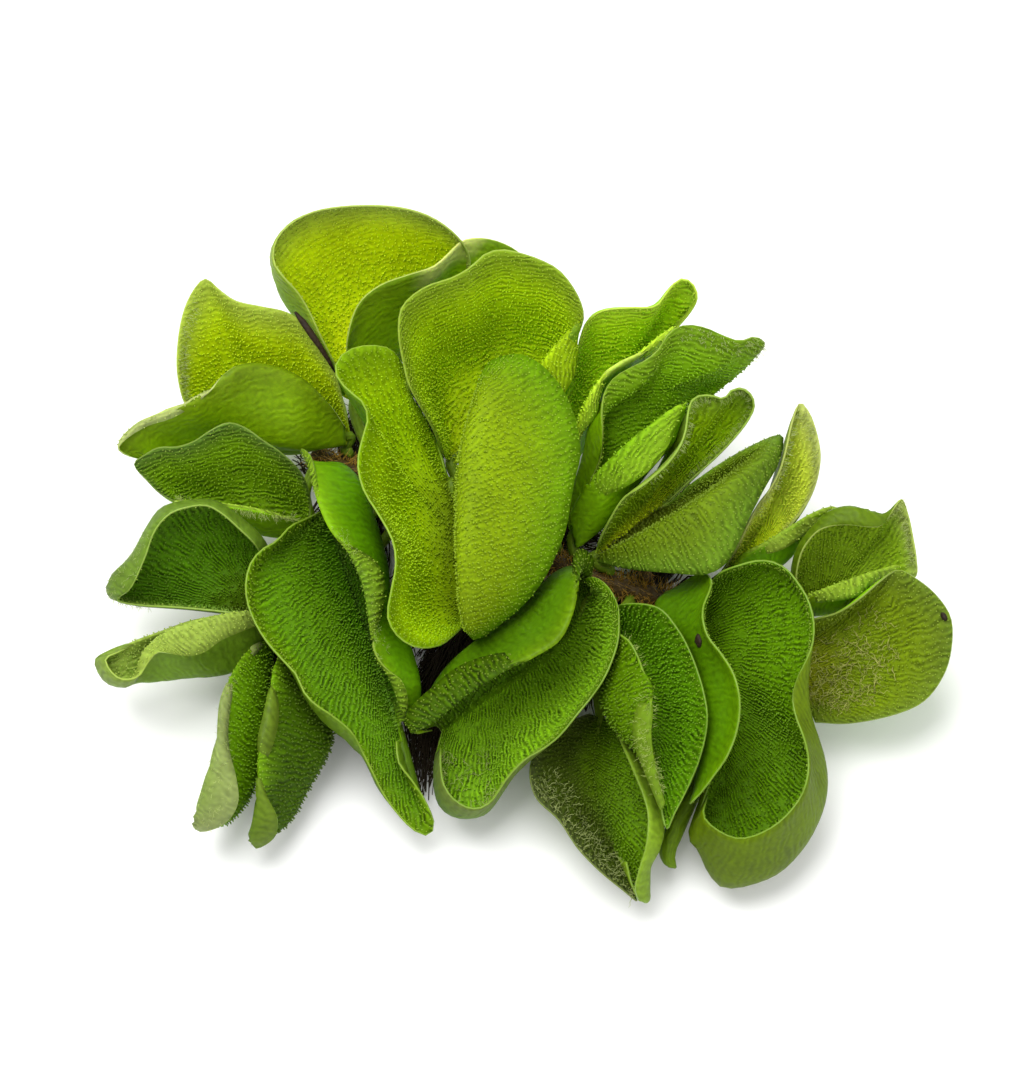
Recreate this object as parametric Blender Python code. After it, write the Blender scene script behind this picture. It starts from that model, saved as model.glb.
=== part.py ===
import bpy
import bmesh
from math import cos, pi, radians, sin
from mathutils import Vector

for old in list(bpy.data.objects):
    bpy.data.objects.remove(old, do_unlink=True)

# A mature salvinia plant: a branched floating stem, folded leaves and root
# tufts. Places are drawn on a plan of the plant, seen from above and a little
# from the south, in plan steps across and down and millimetres of height.
PLAN_STEP = 0.00014
PLAN_MIDDLE = (512.0, 545.5)
SIGHT_ANGLE = radians(69.0)
SIGHT_DISTANCE = 0.60
SIGHT_HEIGHT = 0.018
PLANT_SHIFT = Vector((-0.00115, 0.00074, 0.0))

LEAF_THICKNESS = 0.0006
LEAF_OFFSET = -0.3
STEPS_ALONG = 8
STALK_RADII = (0.0004, 0.0009, 0.0008)
JOIN_GAP = 0.0004
JOIN_LENGTH = 0.0006
TUBE_SIDES = 6
ROOT_SIDES = 5
CROWN_RADIUS = 0.0030
CROWN_TOP_RADIUS = 0.0012
STRAND_RADII = (0.0009, 0.0007, 0.0006, 0.0004)


def place(across, down, height):
    """Point of the plant, in metres, for a plan position and a height in mm."""
    sight = Vector((0.0, -cos(SIGHT_ANGLE), sin(SIGHT_ANGLE)))
    up = Vector((0.0, sin(SIGHT_ANGLE), cos(SIGHT_ANGLE)))
    middle = Vector((0.0, 0.0, SIGHT_HEIGHT))
    eye = middle + sight * SIGHT_DISTANCE
    right = (across - PLAN_MIDDLE[0]) * PLAN_STEP
    rise = (PLAN_MIDDLE[1] - down) * PLAN_STEP
    ray = middle + Vector((right, 0.0, 0.0)) + up * rise - eye
    return eye + ray * ((height / 1000.0 - eye.z) / ray.z) + PLANT_SHIFT


def measure(points):
    """Share of the whole length reached at each point."""
    reach = [0.0]
    for a, b in zip(points, points[1:]):
        reach.append(reach[-1] + max((b - a).length, 1e-9))
    return [r / reach[-1] for r in reach]


def flow(points, knots, share):
    """Point of the smooth curve through the points at a share of its length."""
    last = len(points) - 1
    k = 0
    while k < last - 1 and share > knots[k + 1]:
        k += 1
    width = knots[k + 1] - knots[k]
    t = (share - knots[k]) / width

    def slope(i):
        low = max(i - 1, 0)
        high = min(i + 1, last)
        return (points[high] - points[low]) / (knots[high] - knots[low])

    a = points[k]
    b = points[k + 1]
    lean = slope(k) * width
    arrive = slope(k + 1) * width
    t2 = t * t
    t3 = t2 * t
    return (a * (2 * t3 - 3 * t2 + 1) + lean * (t3 - 2 * t2 + t)
            + b * (3 * t2 - 2 * t3) + arrive * (t3 - t2))


def read_line(line):
    """Plan points of a line and their shares, widths in plan steps."""
    points = [Vector(p) for p in line]
    flat = [Vector((p.x, p.y, p.z * 7.0)) for p in points]
    return points, measure(flat)


def at(line, share):
    return flow(line[0], line[1], share)


# Each leaf is folded up along its short middle line. A lobe runs from that
# fold, over a belly and a crest, out to its rim; its lines run from the
# stalk's end of the leaf to the far end.
LEAVES = {
    "leaf_back_left": {
        "fold": [(354, 402, 8), (392, 368, 11), (440, 330, 15)],
        "stalk": [(364, 440, 6.4), (370, 482, 5.8)],
        "lobes": [
            {"rim": [(346, 390, 11), (334, 362, 17), (321, 336, 20), (309, 310, 22), (297, 291, 24),
                     (284, 277, 26), (274, 262, 27), (275, 244, 28), (284, 230, 29), (300, 218, 30),
                     (322, 210, 31), (360, 206, 32), (400, 208, 32), (432, 218, 31), (458, 238, 29),
                     (470, 262, 25), (462, 298, 20), (447, 322, 17)],
             "crest": [(344, 396, 10), (326, 362, 15), (300, 322, 18), (283, 298, 20), (274, 268, 23),
                       (277, 245, 25), (300, 222, 27), (360, 211, 29), (430, 224, 28), (462, 250, 25),
                       (458, 300, 19), (447, 324, 16)],
             "sag": (0, 0, -2.5)},
            {"rim": [(352, 396, 11), (347, 366, 17), (347, 340, 22), (353, 315, 25), (363, 298, 27),
                     (382, 284, 28), (410, 274, 29), (434, 266, 29), (449, 253, 29), (462, 241, 28),
                     (482, 238, 27), (505, 244, 26), (521, 256, 24), (515, 282, 20), (482, 312, 17),
                     (450, 330, 16)],
             "belly": [(360, 402, 10), (392, 352, 15), (440, 312, 18), (480, 300, 18), (455, 330, 15)]},
        ]},
    "leaf_left_upper": {
        "fold": [(350, 437, 7.4), (290, 453, 9.5), (215, 440, 12)],
        "stalk": [(345, 450, 6.6), (342, 467, 6)],
        "lobes": [
            {"rim": [(347, 420, 10), (342, 398, 13), (334, 372, 17), (318, 346, 20), (300, 321, 22),
                     (285, 312, 23), (262, 307, 24), (235, 301, 25), (220, 291, 25), (205, 279, 26),
                     (192, 293, 25), (183, 315, 24), (178, 345, 22), (178, 375, 20), (186, 405, 17),
                     (206, 430, 14)],
             "sag": (0, 0, -3)},
            {"rim": [(346, 428, 10), (330, 405, 14), (304, 380, 18), (280, 368, 20), (250, 363, 22),
                     (234, 367, 23), (220, 378, 23), (209, 392, 23), (195, 404, 22), (172, 418, 21),
                     (145, 427, 19), (118, 448, 17), (145, 460, 14), (185, 452, 13), (210, 445, 13)],
             "crest": [(345, 428, 10), (305, 384, 18), (252, 366, 22), (222, 380, 23), (203, 392, 23),
                       (186, 402, 23), (165, 410, 22), (135, 425, 19), (120, 447, 16), (160, 455, 14),
                       (205, 446, 13)],
             "belly": [(346, 444, 8.4), (300, 445, 12), (240, 434, 14.5), (185, 441, 15), (160, 455, 14),
                       (205, 448, 12)]},
        ]},
    "leaf_left_middle": {
        "fold": [(312, 530, 5.5), (265, 530, 7), (205, 517, 10)],
        "grip": 0.10,
        "stalk": [(305, 494, 5.2), (320, 456, 6.1)],
        "lobes": [
            {"rim": [(309, 520, 7), (310, 497, 10.2), (300, 472, 14.6), (281, 453, 18), (262, 440, 20),
                     (245, 428, 21), (228, 423, 22), (210, 431, 22), (195, 441, 21), (178, 447, 20),
                     (158, 448, 19), (145, 455, 18), (134, 464, 17), (146, 479, 15), (163, 495, 13),
                     (195, 510, 11)],
             "sag": (0, 0, -2.5)},
            {"rim": [(310, 526, 7), (298, 522, 10), (282, 519, 12.5), (262, 515, 14), (235, 511, 15),
                     (205, 507, 15), (184, 504, 14), (175, 501, 13), (190, 513, 11)],
             "crest": [(309, 525, 7), (290, 518, 11.5), (262, 510, 15), (225, 504, 16), (190, 501, 14.5),
                       (178, 502, 12), (196, 514, 10)],
             "belly": [(311, 534, 6), (282, 536, 8.5), (240, 528, 11), (200, 516, 11), (200, 517, 10)]},
        ]},
    "leaf_left_outer": {
        "fold": [(276, 600, 8), (260, 608, 9), (243, 614, 11)],
        "stalk": [(300, 575, 4.5), (326, 532, 3.4), (354, 494, 4.4), (356, 474, 5.9)],
        "lobes": [
            {"rim": [(273, 592, 9), (266, 566, 12), (255, 545, 16), (240, 530, 18), (222, 514, 20),
                     (207, 506, 21), (190, 507, 22), (170, 514, 22), (155, 531, 21), (145, 558, 19),
                     (131, 588, 17), (118, 600, 14), (140, 605, 13), (175, 607, 12), (210, 610, 12),
                     (236, 613, 12)],
             "crest": [(274, 591, 9), (272, 564, 10), (262, 540, 14), (240, 519, 16), (215, 503, 18),
                       (190, 503, 19), (163, 510, 19), (147, 531, 18), (133, 557, 16), (113, 577, 14),
                       (110, 594, 12), (130, 603, 12), (180, 607, 11), (235, 613, 11)],
             "sag": (0, 0, -2.5)},
            {"rim": [(272, 604, 9), (264, 622, 12), (250, 628, 14), (235, 634, 15), (220, 641, 16),
                     (205, 652, 16), (190, 656, 16), (172, 654, 16), (158, 652, 16), (148, 662, 15),
                     (138, 676, 14), (122, 679, 13), (111, 671, 13), (106, 659, 13), (120, 652, 13),
                     (150, 637, 13), (190, 621, 13), (232, 614, 12)],
             "crest": [(272, 603, 10), (258, 610, 14), (230, 614, 17), (200, 620, 18), (170, 630, 18),
                       (145, 650, 14), (130, 684, 10), (108, 682, 9), (96, 663, 10), (106, 654, 12),
                       (150, 636, 14), (232, 613, 12)],
             "belly": [(272, 612, 8), (258, 650, 8), (228, 672, 8), (190, 676, 8), (150, 680, 8),
                       (125, 678, 9), (120, 660, 11), (160, 640, 12), (236, 615, 11)]},
        ]},
    "leaf_low_left_outer": {
        "fold": [(270, 640, 6), (250, 705, 4), (236, 765, 4)],
        "stalk": [(290, 612, 3.2), (345, 545, 3), (382, 504, 3.6), (387, 491, 5.6)],
        "lobes": [
            {"rim": [(266, 642, 8), (256, 654, 12), (244, 664, 14), (235, 684, 16), (229, 712, 17),
                     (228, 745, 17), (237, 782, 16), (238, 803, 14), (226, 822, 11), (205, 831, 9),
                     (195, 828, 8), (210, 800, 8), (226, 775, 6)],
             "crest": [(268, 640, 8), (250, 650, 13), (234, 672, 17), (222, 700, 18), (217, 742, 18),
                       (205, 785, 16), (194, 824, 10), (202, 822, 7), (226, 778, 5)],
             "belly": [(272, 645, 7), (266, 690, 10), (262, 740, 10), (250, 795, 8), (225, 822, 6),
                       (216, 800, 5), (232, 772, 4)]},
            {"rim": [(258, 646, 6.5), (240, 672, 7.5), (228, 704, 8), (220, 745, 8), (214, 780, 7),
                     (218, 794, 6), (228, 782, 4.5)],
             "sag": (0, 0, -0.6)},
        ]},
    "leaf_low_left_inner": {
        "fold": [(296, 650, 6), (290, 715, 3.5), (280, 775, 3)],
        "stalk": [(320, 620, 3.2), (372, 556, 3), (404, 514, 3.6), (408, 503, 5.4)],
        "lobes": [
            {"rim": [(290, 650, 8), (279, 658, 12), (272, 676, 14), (278, 703, 15), (278, 722, 15),
                     (272, 747, 15), (263, 768, 14), (264, 790, 13), (277, 817, 11), (275, 836, 8),
                     (257, 848, 6), (252, 842, 6), (260, 816, 6.5), (270, 796, 6.5)],
             "crest": [(292, 648, 8), (280, 656, 12), (272, 680, 15), (266, 712, 16), (259, 742, 16),
                       (258, 772, 15), (257, 805, 12), (250, 838, 8), (258, 838, 5.5), (279, 800, 5.5)],
             "belly": [(300, 655, 7), (320, 700, 8), (331, 740, 7), (308, 788, 6), (288, 822, 5),
                       (276, 824, 4.2), (287, 790, 3.5)]},
            {"rim": [(290, 652, 5), (278, 690, 6), (270, 735, 6), (264, 770, 5), (264, 784, 4.6),
                     (267, 782, 4.2)],
             "sag": (0, 0, -1)},
        ]},
    "leaf_front_left": {
        "fold": [(326, 506, 7), (352, 590, 7), (386, 680, 8), (400, 722, 10)],
        "stalk": [(328, 490, 6.6), (334, 463, 6.1)],
        "lobes": [
            {"rim": [(320, 512, 10), (306, 519, 14), (290, 527, 17), (277, 541, 18), (262, 550, 18.5),
                     (251, 563, 19), (246, 583, 19), (248, 604, 18), (256, 624, 18), (268, 643, 18),
                     (283, 660, 18), (297, 675, 18), (303, 690, 18), (314, 703, 18), (332, 715, 17),
                     (352, 732, 15), (363, 752, 12), (373, 772, 10.5), (384, 794, 9), (400, 816, 7.5),
                     (416, 831, 6.5), (429, 835, 6), (434, 824, 7), (424, 799, 9), (412, 781, 10),
                     (398, 762, 11), (396, 742, 11)],
             "crest": [(322, 514, 9), (300, 530, 13), (268, 556, 15), (255, 585, 16), (262, 618, 15),
                       (288, 655, 15), (306, 692, 15), (323, 718, 14), (346, 738, 12), (365, 758, 10),
                       (380, 790, 8.5), (398, 814, 7), (422, 831, 5.5), (424, 808, 7.5), (408, 778, 9),
                       (400, 738, 9.5)],
             "sag": (0, 0, 1.5)},
            {"rim": [(322, 494, 10), (310, 468, 13), (301, 449, 16), (310, 455, 18), (316, 475, 20),
                     (320, 496, 21), (328, 520, 22), (340, 537, 23), (356, 549, 23), (373, 559, 23),
                     (383, 574, 23), (385, 592, 23), (382, 612, 22), (375, 632, 21), (373, 646, 20),
                     (379, 660, 19), (389, 671, 18), (401, 680, 17), (408, 700, 14), (405, 716, 12)],
             "crest": [(324, 496, 9), (312, 470, 13), (308, 462, 17), (318, 500, 22), (332, 532, 24),
                       (348, 552, 25), (361, 578, 25), (367, 602, 24), (370, 628, 22), (375, 655, 19),
                       (390, 678, 17), (402, 712, 12)],
             "belly": [(329, 486, 8.5), (340, 467, 12.5), (356, 478, 15), (370, 508, 15),
                       (385, 560, 14), (392, 610, 13),
                       (410, 650, 13), (419, 690, 12), (410, 718, 10)]},
        ]},
    "leaf_center": {
        "fold": [(451, 482, 7.5), (458, 530, 8), (463, 595, 9), (463, 622, 10)],
        "stalk": [(448, 500, 7), (444, 518, 5.1)],
        "lobes": [
            {"rim": [(445, 472, 10), (437, 444, 11.2), (423, 414, 16), (409, 390, 20.6), (402, 363, 24),
                     (388, 348, 26.4), (362, 346, 27), (343, 354, 27), (335, 370, 27), (346, 388, 27),
                     (362, 401, 27), (368, 418, 26), (362, 440, 26), (358, 464, 26), (364, 490, 26),
                     (380, 516, 26), (393, 541, 26), (396, 565, 26), (391, 593, 25), (388, 617, 24),
                     (398, 636, 22), (417, 647, 20), (440, 645, 17), (455, 634, 14), (462, 627, 12)],
             "sag": (-8, 0, -3)},
            {"rim": [(457, 472, 10.5), (468, 427, 18), (478, 388, 24), (487, 364, 27), (502, 356, 28),
                     (520, 354, 28), (536, 361, 28), (550, 373, 27), (563, 390, 26), (573, 412, 25),
                     (579, 436, 25), (580, 458, 24), (574, 482, 24), (570, 505, 23), (566, 528, 22),
                     (556, 554, 21), (543, 580, 20), (524, 604, 19), (503, 622, 18), (484, 636, 17),
                     (474, 640, 17), (469, 634, 15), (466, 627, 13)],
             "crest": [(458, 471, 11), (468, 427, 22), (477, 393, 28), (471, 416, 30), (465, 455, 31),
                       (463, 510, 31), (463, 560, 30), (465, 605, 26), (468, 630, 20), (465, 625, 14)],
             "sag": (6, 0, -2)},
        ]},
    "leaf_back_center": {
        "fold": [(451, 462, 6.5), (488, 420, 9.5), (530, 382, 14)],
        "stalk": [(464, 488, 5.4), (474, 530, 5)],
        "lobes": [
            {"rim": [(444, 457, 9), (440, 446, 13), (433, 428, 17), (420, 405, 21), (409, 384, 24),
                     (403, 360, 26), (399, 335, 28.5), (401, 310, 30), (411, 297, 31), (428, 286, 32),
                     (452, 278, 33), (470, 268, 34), (486, 254, 34), (502, 250, 34), (522, 254, 34),
                     (542, 261, 33), (558, 270, 32), (571, 285, 31), (581, 304, 29), (583, 320, 27),
                     (572, 345, 22), (550, 370, 17), (536, 380, 15)],
             "sag": (0, 0, -4)},
            {"rim": [(459, 462, 8.5), (490, 443, 13.5), (525, 426, 17), (550, 409, 19), (565, 392, 21),
                     (574, 375, 22), (578, 355, 23), (577, 338, 25), (579, 326, 26), (583, 318, 26),
                     (572, 342, 21), (546, 372, 16)],
             "crest": [(457, 459, 9), (485, 429, 17.5), (518, 394, 23), (541, 366, 26), (552, 350, 27),
                       (565, 335, 27), (578, 323, 27), (574, 336, 23), (545, 370, 16)],
             "belly": [(456, 463, 7), (498, 438, 11.5), (536, 420, 14), (560, 400, 16), (565, 378, 18),
                       (548, 378, 15)]},
        ]},
    "leaf_back_small": {
        "fold": [(570, 472, 8), (592, 432, 10), (626, 388, 14)],
        "stalk": [(556, 504, 6.4), (552, 540, 5.4), (552, 563, 5)],
        "lobes": [
            {"rim": [(563, 462, 8.5), (561, 426, 9.5), (564, 396, 11.5), (573, 369, 14.5), (578, 349, 18),
                     (582, 334, 21.5), (588, 321, 24.5), (603, 311, 26.5), (630, 308, 27), (655, 307, 27),
                     (664, 297, 27), (673, 285, 27), (683, 279, 27), (693, 285, 26), (697, 297, 25),
                     (690, 312, 22), (672, 333, 19), (650, 358, 17), (634, 378, 15)],
             "crest": [(565, 463, 8), (565, 424, 9), (573, 380, 12.5), (589, 324, 22), (604, 312, 25),
                       (652, 309, 25), (672, 288, 25), (685, 281, 25), (694, 296, 23), (685, 313, 20),
                       (640, 366, 15)],
             "sag": (0, 0, -2.5)},
            {"rim": [(573, 460, 11), (582, 434, 15), (596, 415, 18), (600, 398, 20), (605, 383, 21),
                     (614, 372, 22), (632, 362, 22), (650, 355, 22), (664, 343, 22), (674, 331, 21),
                     (664, 348, 18), (644, 374, 15)],
             "crest": [(572, 456, 12), (580, 420, 18), (590, 396, 21), (603, 376, 23), (618, 364, 24),
                       (640, 353, 24), (658, 338, 24), (675, 326, 22), (660, 346, 18), (640, 374, 15)],
             "belly": [(574, 466, 8.5), (577, 450, 11), (584, 428, 13), (600, 402, 15.5), (628, 384, 17),
                       (640, 379, 14)]},
        ]},
    "leaf_back_right": {
        "fold": [(573, 538, 7), (606, 494, 9), (650, 446, 13)],
        "stalk": [(575, 554, 6.2), (579, 572, 5)],
        "lobes": [
            {"rim": [(572, 520, 9.5), (590, 482, 14), (601, 456, 17), (603, 432, 20), (602, 410, 22),
                     (605, 392, 23), (614, 378, 24), (630, 368, 25), (648, 359, 26), (660, 348, 26),
                     (666, 337, 27), (676, 328, 27), (690, 325, 27), (706, 328, 27), (722, 335, 26),
                     (740, 341, 25), (755, 337, 24), (765, 343, 22), (756, 356, 19), (735, 374, 17),
                     (711, 395, 15), (684, 418, 14), (660, 438, 14)],
             "belly": [(569, 528, 7.5), (576, 486, 11), (585, 454, 13.5), (591, 426, 15.5),
                       (604, 402, 17.5),
                       (632, 400, 18), (676, 392, 18), (700, 390, 16), (690, 408, 14), (657, 441, 13.5)]},
            {"rim": [(570, 520, 9.5), (598, 499, 15), (625, 487, 18), (645, 474, 20), (658, 461, 21),
                     (668, 446, 22), (675, 430, 22), (681, 415, 22), (688, 403, 21), (676, 417, 17),
                     (657, 436, 14)],
             "crest": [(570, 516, 10), (590, 482, 18), (610, 460, 21), (632, 440, 23), (650, 426, 24),
                       (668, 412, 24), (687, 402, 22), (672, 418, 17), (655, 438, 14)],
             "belly": [(576, 547, 7.5), (600, 528, 10.2), (622, 502, 13.2), (648, 470, 16), (671, 443, 18.5),
                       (660, 444, 14)]},
        ]},
    "leaf_right_inner": {
        "fold": [(594, 558, 7.5), (630, 532, 9), (660, 509, 11)],
        "stalk": [(600, 566, 6.8), (607, 582, 5)],
        "lobes": [
            {"rim": [(598, 545, 10.5), (610, 520, 15), (624, 498, 18), (640, 488, 20), (655, 476, 21),
                     (668, 464, 22), (680, 447, 23), (686, 430, 23), (688, 415, 23), (691, 402, 23),
                     (699, 396, 23), (712, 396, 23), (724, 399, 22), (731, 391, 22), (741, 389, 21),
                     (750, 395, 20), (754, 406, 19), (748, 420, 18), (735, 437, 17), (715, 458, 15),
                     (688, 482, 14), (668, 501, 12)],
             "crest": [(598, 547, 9.5), (611, 522, 13), (634, 494, 16), (664, 466, 19), (684, 440, 20),
                       (689, 412, 21), (702, 400, 21), (722, 402, 20), (740, 391, 19), (751, 403, 17),
                       (740, 428, 15), (700, 470, 13), (667, 502, 11)],
             "sag": (0, 0, -2)},
            {"rim": [(598, 562, 8.5), (622, 568, 12), (646, 571, 15), (670, 573, 17), (700, 575, 18),
                     (716, 571, 19), (728, 561, 19), (737, 545, 20), (747, 522, 20), (757, 502, 20),
                     (766, 485, 20), (776, 468, 20), (782, 450, 20), (782, 435, 20), (762, 441, 20),
                     (728, 459, 18), (692, 483, 15), (670, 503, 12)],
             "crest": [(600, 556, 9.5), (634, 541, 16), (665, 525, 20), (700, 505, 23), (735, 480, 24),
                       (760, 459, 24), (772, 444, 22), (742, 454, 20), (696, 484, 15), (668, 505, 12)],
             "sag": (4, 4, -1)},
        ]},
    "leaf_right_upper": {
        "fold": [(716, 588, 7), (745, 566, 8), (775, 542, 11)],
        "stalk": [(713, 596, 6.2), (710, 607, 5)],
        "lobes": [
            {"rim": [(717, 580, 9), (729, 562, 12), (742, 537, 15), (757, 507, 17), (771, 488, 19),
                     (781, 468, 20), (787, 447, 21), (792, 424, 22), (800, 403, 23), (809, 413, 23),
                     (816, 432, 22), (820, 455, 21), (817, 478, 19), (810, 497, 17), (798, 516, 15),
                     (784, 532, 13)],
             "sag": (0, 0, -2.5)},
            {"rim": [(720, 590, 8), (733, 565, 11.5), (758, 556, 13), (783, 549, 13.5), (803, 536, 13.5),
                     (820, 522, 14), (838, 508, 14.5)],
             "crest": [(721, 586, 9), (742, 556, 13.5), (766, 542, 15), (790, 527, 15.5), (812, 514, 15.5),
                       (830, 507, 15.2)],
             "belly": [(722, 594, 7), (748, 582, 8.5), (772, 570, 9.5), (788, 558, 10.3),
                       (796, 544, 11.5)]},
        ]},
    "leaf_right_outer": {
        "fold": [(788, 606, 6), (825, 600, 7), (862, 590, 10)],
        "stalk": [(780, 616, 5.4), (768, 625, 4.8), (755, 613, 5)],
        "lobes": [
            {"rim": [(797, 590, 10), (797, 572, 13), (802, 552, 15.5), (811, 538, 17), (820, 530, 18),
                     (832, 526, 18.5), (850, 525, 19), (868, 527, 19), (881, 526, 18.5), (892, 512, 18),
                     (902, 499, 18), (908, 515, 17), (912, 535, 16), (916, 560, 14), (915, 578, 12),
                     (888, 586, 11)],
             "crest": [(794, 592, 9), (793, 570, 11.5), (799, 548, 14), (811, 531, 16), (829, 513, 18),
                       (848, 508, 19), (868, 512, 18.5), (884, 519, 17), (896, 508, 17), (904, 520, 16),
                       (910, 548, 14), (910, 576, 12), (884, 586, 10)],
             "sag": (0, 0, -2)},
            {"rim": [(792, 608, 7), (812, 603, 11), (835, 601, 13), (855, 597, 14), (872, 586, 14),
                     (888, 575, 14), (900, 567, 13), (884, 586, 11)],
             "crest": [(792, 604, 8), (812, 594, 13), (835, 585, 15), (858, 577, 16), (880, 570, 15.5),
                       (897, 566, 14), (882, 584, 11)],
             "belly": [(794, 614, 6), (818, 614, 8), (842, 610, 9), (862, 600, 10), (870, 592, 10)]},
        ]},
    "leaf_right_lower": {
        "fold": [(780, 640, 6), (790, 668, 6), (806, 700, 7)],
        "stalk": [(762, 646, 4.8), (736, 634, 4.8), (732, 611, 5)],
        "lobes": [
            {"rim": [(786, 634, 8), (796, 624, 11), (815, 619, 13), (835, 614, 14), (850, 606, 15),
                     (866, 594, 16), (882, 580, 16.5), (898, 570, 17), (915, 578, 17), (935, 594, 17),
                     (950, 616, 17), (952, 642, 16), (945, 672, 14), (925, 700, 12), (895, 714, 11),
                     (850, 723, 9), (815, 722, 8)],
             "sag": (0, 0, -1.5)},
            {"rim": [(774, 642, 7), (764, 655, 9), (758, 675, 10), (762, 700, 10), (776, 718, 9),
                     (796, 716, 8)],
             "sag": (0, 0, -0.5)},
        ]},
    "leaf_front_right": {
        "fold": [(674, 596, 7.5), (700, 650, 8), (706, 715, 8), (714, 772, 9)],
        "stalk": [(673, 597, 6.9), (669, 599, 5)],
        "lobes": [
            {"rim": [(700, 594, 11), (712, 581, 16), (722, 572, 19), (738, 566, 21), (757, 561, 22),
                     (772, 562, 23), (786, 569, 23), (797, 582, 23), (807, 598, 23), (813, 618, 23),
                     (813, 640, 22), (806, 660, 21), (797, 678, 20), (792, 698, 19), (796, 718, 19),
                     (803, 736, 19), (808, 757, 18), (807, 778, 18), (799, 799, 17), (780, 821, 17),
                     (758, 834, 16), (738, 838, 15), (718, 830, 14), (704, 816, 13), (708, 795, 11)],
             "crest": [(702, 596, 10), (718, 576, 16), (740, 568, 18), (772, 564, 20), (800, 592, 20),
                       (811, 625, 20), (806, 660, 19), (798, 690, 17), (806, 722, 15), (820, 752, 13),
                       (825, 783, 11), (820, 811, 9), (803, 844, 7), (777, 871, 6), (746, 884, 5),
                       (722, 885, 5), (709, 870, 5.5), (700, 850, 6.5), (690, 836, 8), (700, 812, 9)],
             "sag": (0, 0, -1.5)},
            {"rim": [(680, 584, 10), (695, 575, 13), (707, 574, 16), (712, 582, 18.5),
                     (709, 593, 20), (704, 605, 21),
                     (703, 618, 22), (708, 636, 22), (721, 653, 22), (733, 672, 22), (739, 692, 22),
                     (740, 712, 21), (736, 735, 20), (727, 757, 19), (714, 776, 17), (701, 793, 15),
                     (690, 804, 13), (698, 796, 11), (706, 784, 10)],
             "belly": [(668, 594, 8.5), (657, 604, 10), (665, 622, 11.5), (683, 642, 13), (692, 662, 13.5),
                       (701, 690, 14),
                       (703, 740, 13), (698, 785, 11), (706, 790, 9)]},
        ]},
    "leaf_front_middle": {
        "fold": [(613, 631, 7.5), (636, 690, 7), (655, 758, 11)],
        "stalk": [(622, 612, 6.6), (634, 590, 5)],
        "lobes": [
            {"rim": [(608, 622, 10), (616, 607, 13), (627, 604, 15), (641, 604, 16.5), (656, 607, 17.5),
                     (666, 614, 18), (673, 623, 18), (682, 636, 18), (690, 652, 18), (697, 670, 18),
                     (703, 690, 18), (707, 712, 18), (706, 732, 17), (700, 757, 16), (692, 778, 15),
                     (683, 797, 15), (674, 814, 14.5), (667, 829, 14), (662, 810, 13.8), (659, 782, 12.8)],
             "sag": (0, 0, -2)},
            {"rim": [(607, 634, 10), (612, 629, 14), (618, 633, 17), (630, 642, 19), (638, 656, 19),
                     (643, 670, 20), (652, 686, 20), (643, 697, 20), (636, 710, 20), (633, 728, 19),
                     (635, 746, 18), (643, 768, 17.5), (652, 790, 17), (661, 810, 15.5), (659, 786, 13.8)],
             "crest": [(608, 633, 10.5), (615, 631, 15), (629, 645, 18), (640, 662, 19), (650, 684, 21),
                       (652, 705, 22), (651, 740, 20.5), (656, 772, 18.5), (664, 802, 16.5),
                       (660, 787, 13.8)],
             "belly": [(608, 640, 8.5), (612, 662, 11.5), (602, 694, 12.5), (612, 722, 12.5),
                       (637, 748, 13), (654, 776, 14), (657, 780, 13)]},
        ]},
    "leaf_front_tip": {
        "fold": [(600, 718, 4.5), (594, 780, 4.5), (606, 840, 4.5)],
        "stalk": [(600, 668, 3.4), (612, 612, 3), (616, 584, 5)],
        "lobes": [
            {"rim": [(606, 718, 6), (614, 727, 8.5), (622, 745, 11), (632, 768, 12.5), (643, 795, 13.5),
                     (648, 816, 13.5), (646, 845, 13), (639, 870, 11.5), (635, 889, 9.5), (639, 900, 7),
                     (632, 884, 6.5), (627, 862, 6.8)],
             "crest": [(608, 720, 5), (620, 731, 7), (634, 752, 9), (646, 777, 10), (656, 801, 10.2),
                       (662, 824, 10.2), (659, 846, 10.5), (649, 866, 9), (648, 886, 7), (647, 900, 5.5),
                       (632, 884, 5), (621, 860, 5.2)],
             "sag": (0, 0, -0.3)},
            {"rim": [(590, 714, 6.5), (563, 724, 8.8), (540, 742, 10.2), (530, 770, 11), (536, 797, 11),
                     (559, 820, 10.5), (578, 848, 10), (600, 871, 9), (622, 889, 7),
                     (637, 901, 5.5), (618, 884, 5.8),
                     (596, 860, 6.2)],
             "sag": (0, 0, -0.6)},
        ]},
    "leaf_front_center": {
        "fold": [(592, 594, 8), (560, 650, 7), (500, 692, 7), (442, 732, 9)],
        "stalk": [(593, 590, 7.2), (592, 578, 5)],
        "lobes": [
            {"rim": [(590, 586, 10), (592, 572, 13), (594, 560, 15), (587, 551, 16), (577, 549, 17),
                     (573, 560, 18), (573, 577, 19), (571, 596, 20), (566, 616, 20), (557, 632, 20),
                     (546, 644, 20), (530, 651, 20), (512, 652, 19), (490, 655, 19), (468, 662, 18),
                     (450, 672, 17), (434, 686, 16), (420, 698, 15), (409, 711, 14), (405, 724, 12),
                     (416, 730, 11), (432, 730, 10)],
             "crest": [(590, 588, 10), (586, 575, 14), (582, 566, 17), (579, 575, 20), (576, 592, 21),
                       (571, 614, 22), (558, 640, 22), (534, 656, 22), (508, 669, 21), (482, 684, 20),
                       (459, 700, 18), (444, 713, 16), (430, 723, 14.5), (412, 732, 12.5), (420, 732, 10)],
             "belly": [(590, 590, 9), (572, 572, 11), (550, 580, 13), (520, 612, 13), (480, 640, 12),
                       (448, 668, 11), (430, 700, 10), (436, 726, 9)]},
            {"rim": [(592, 584, 11), (584, 580, 14), (593, 577, 16), (603, 582, 17), (612, 593, 18),
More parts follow.
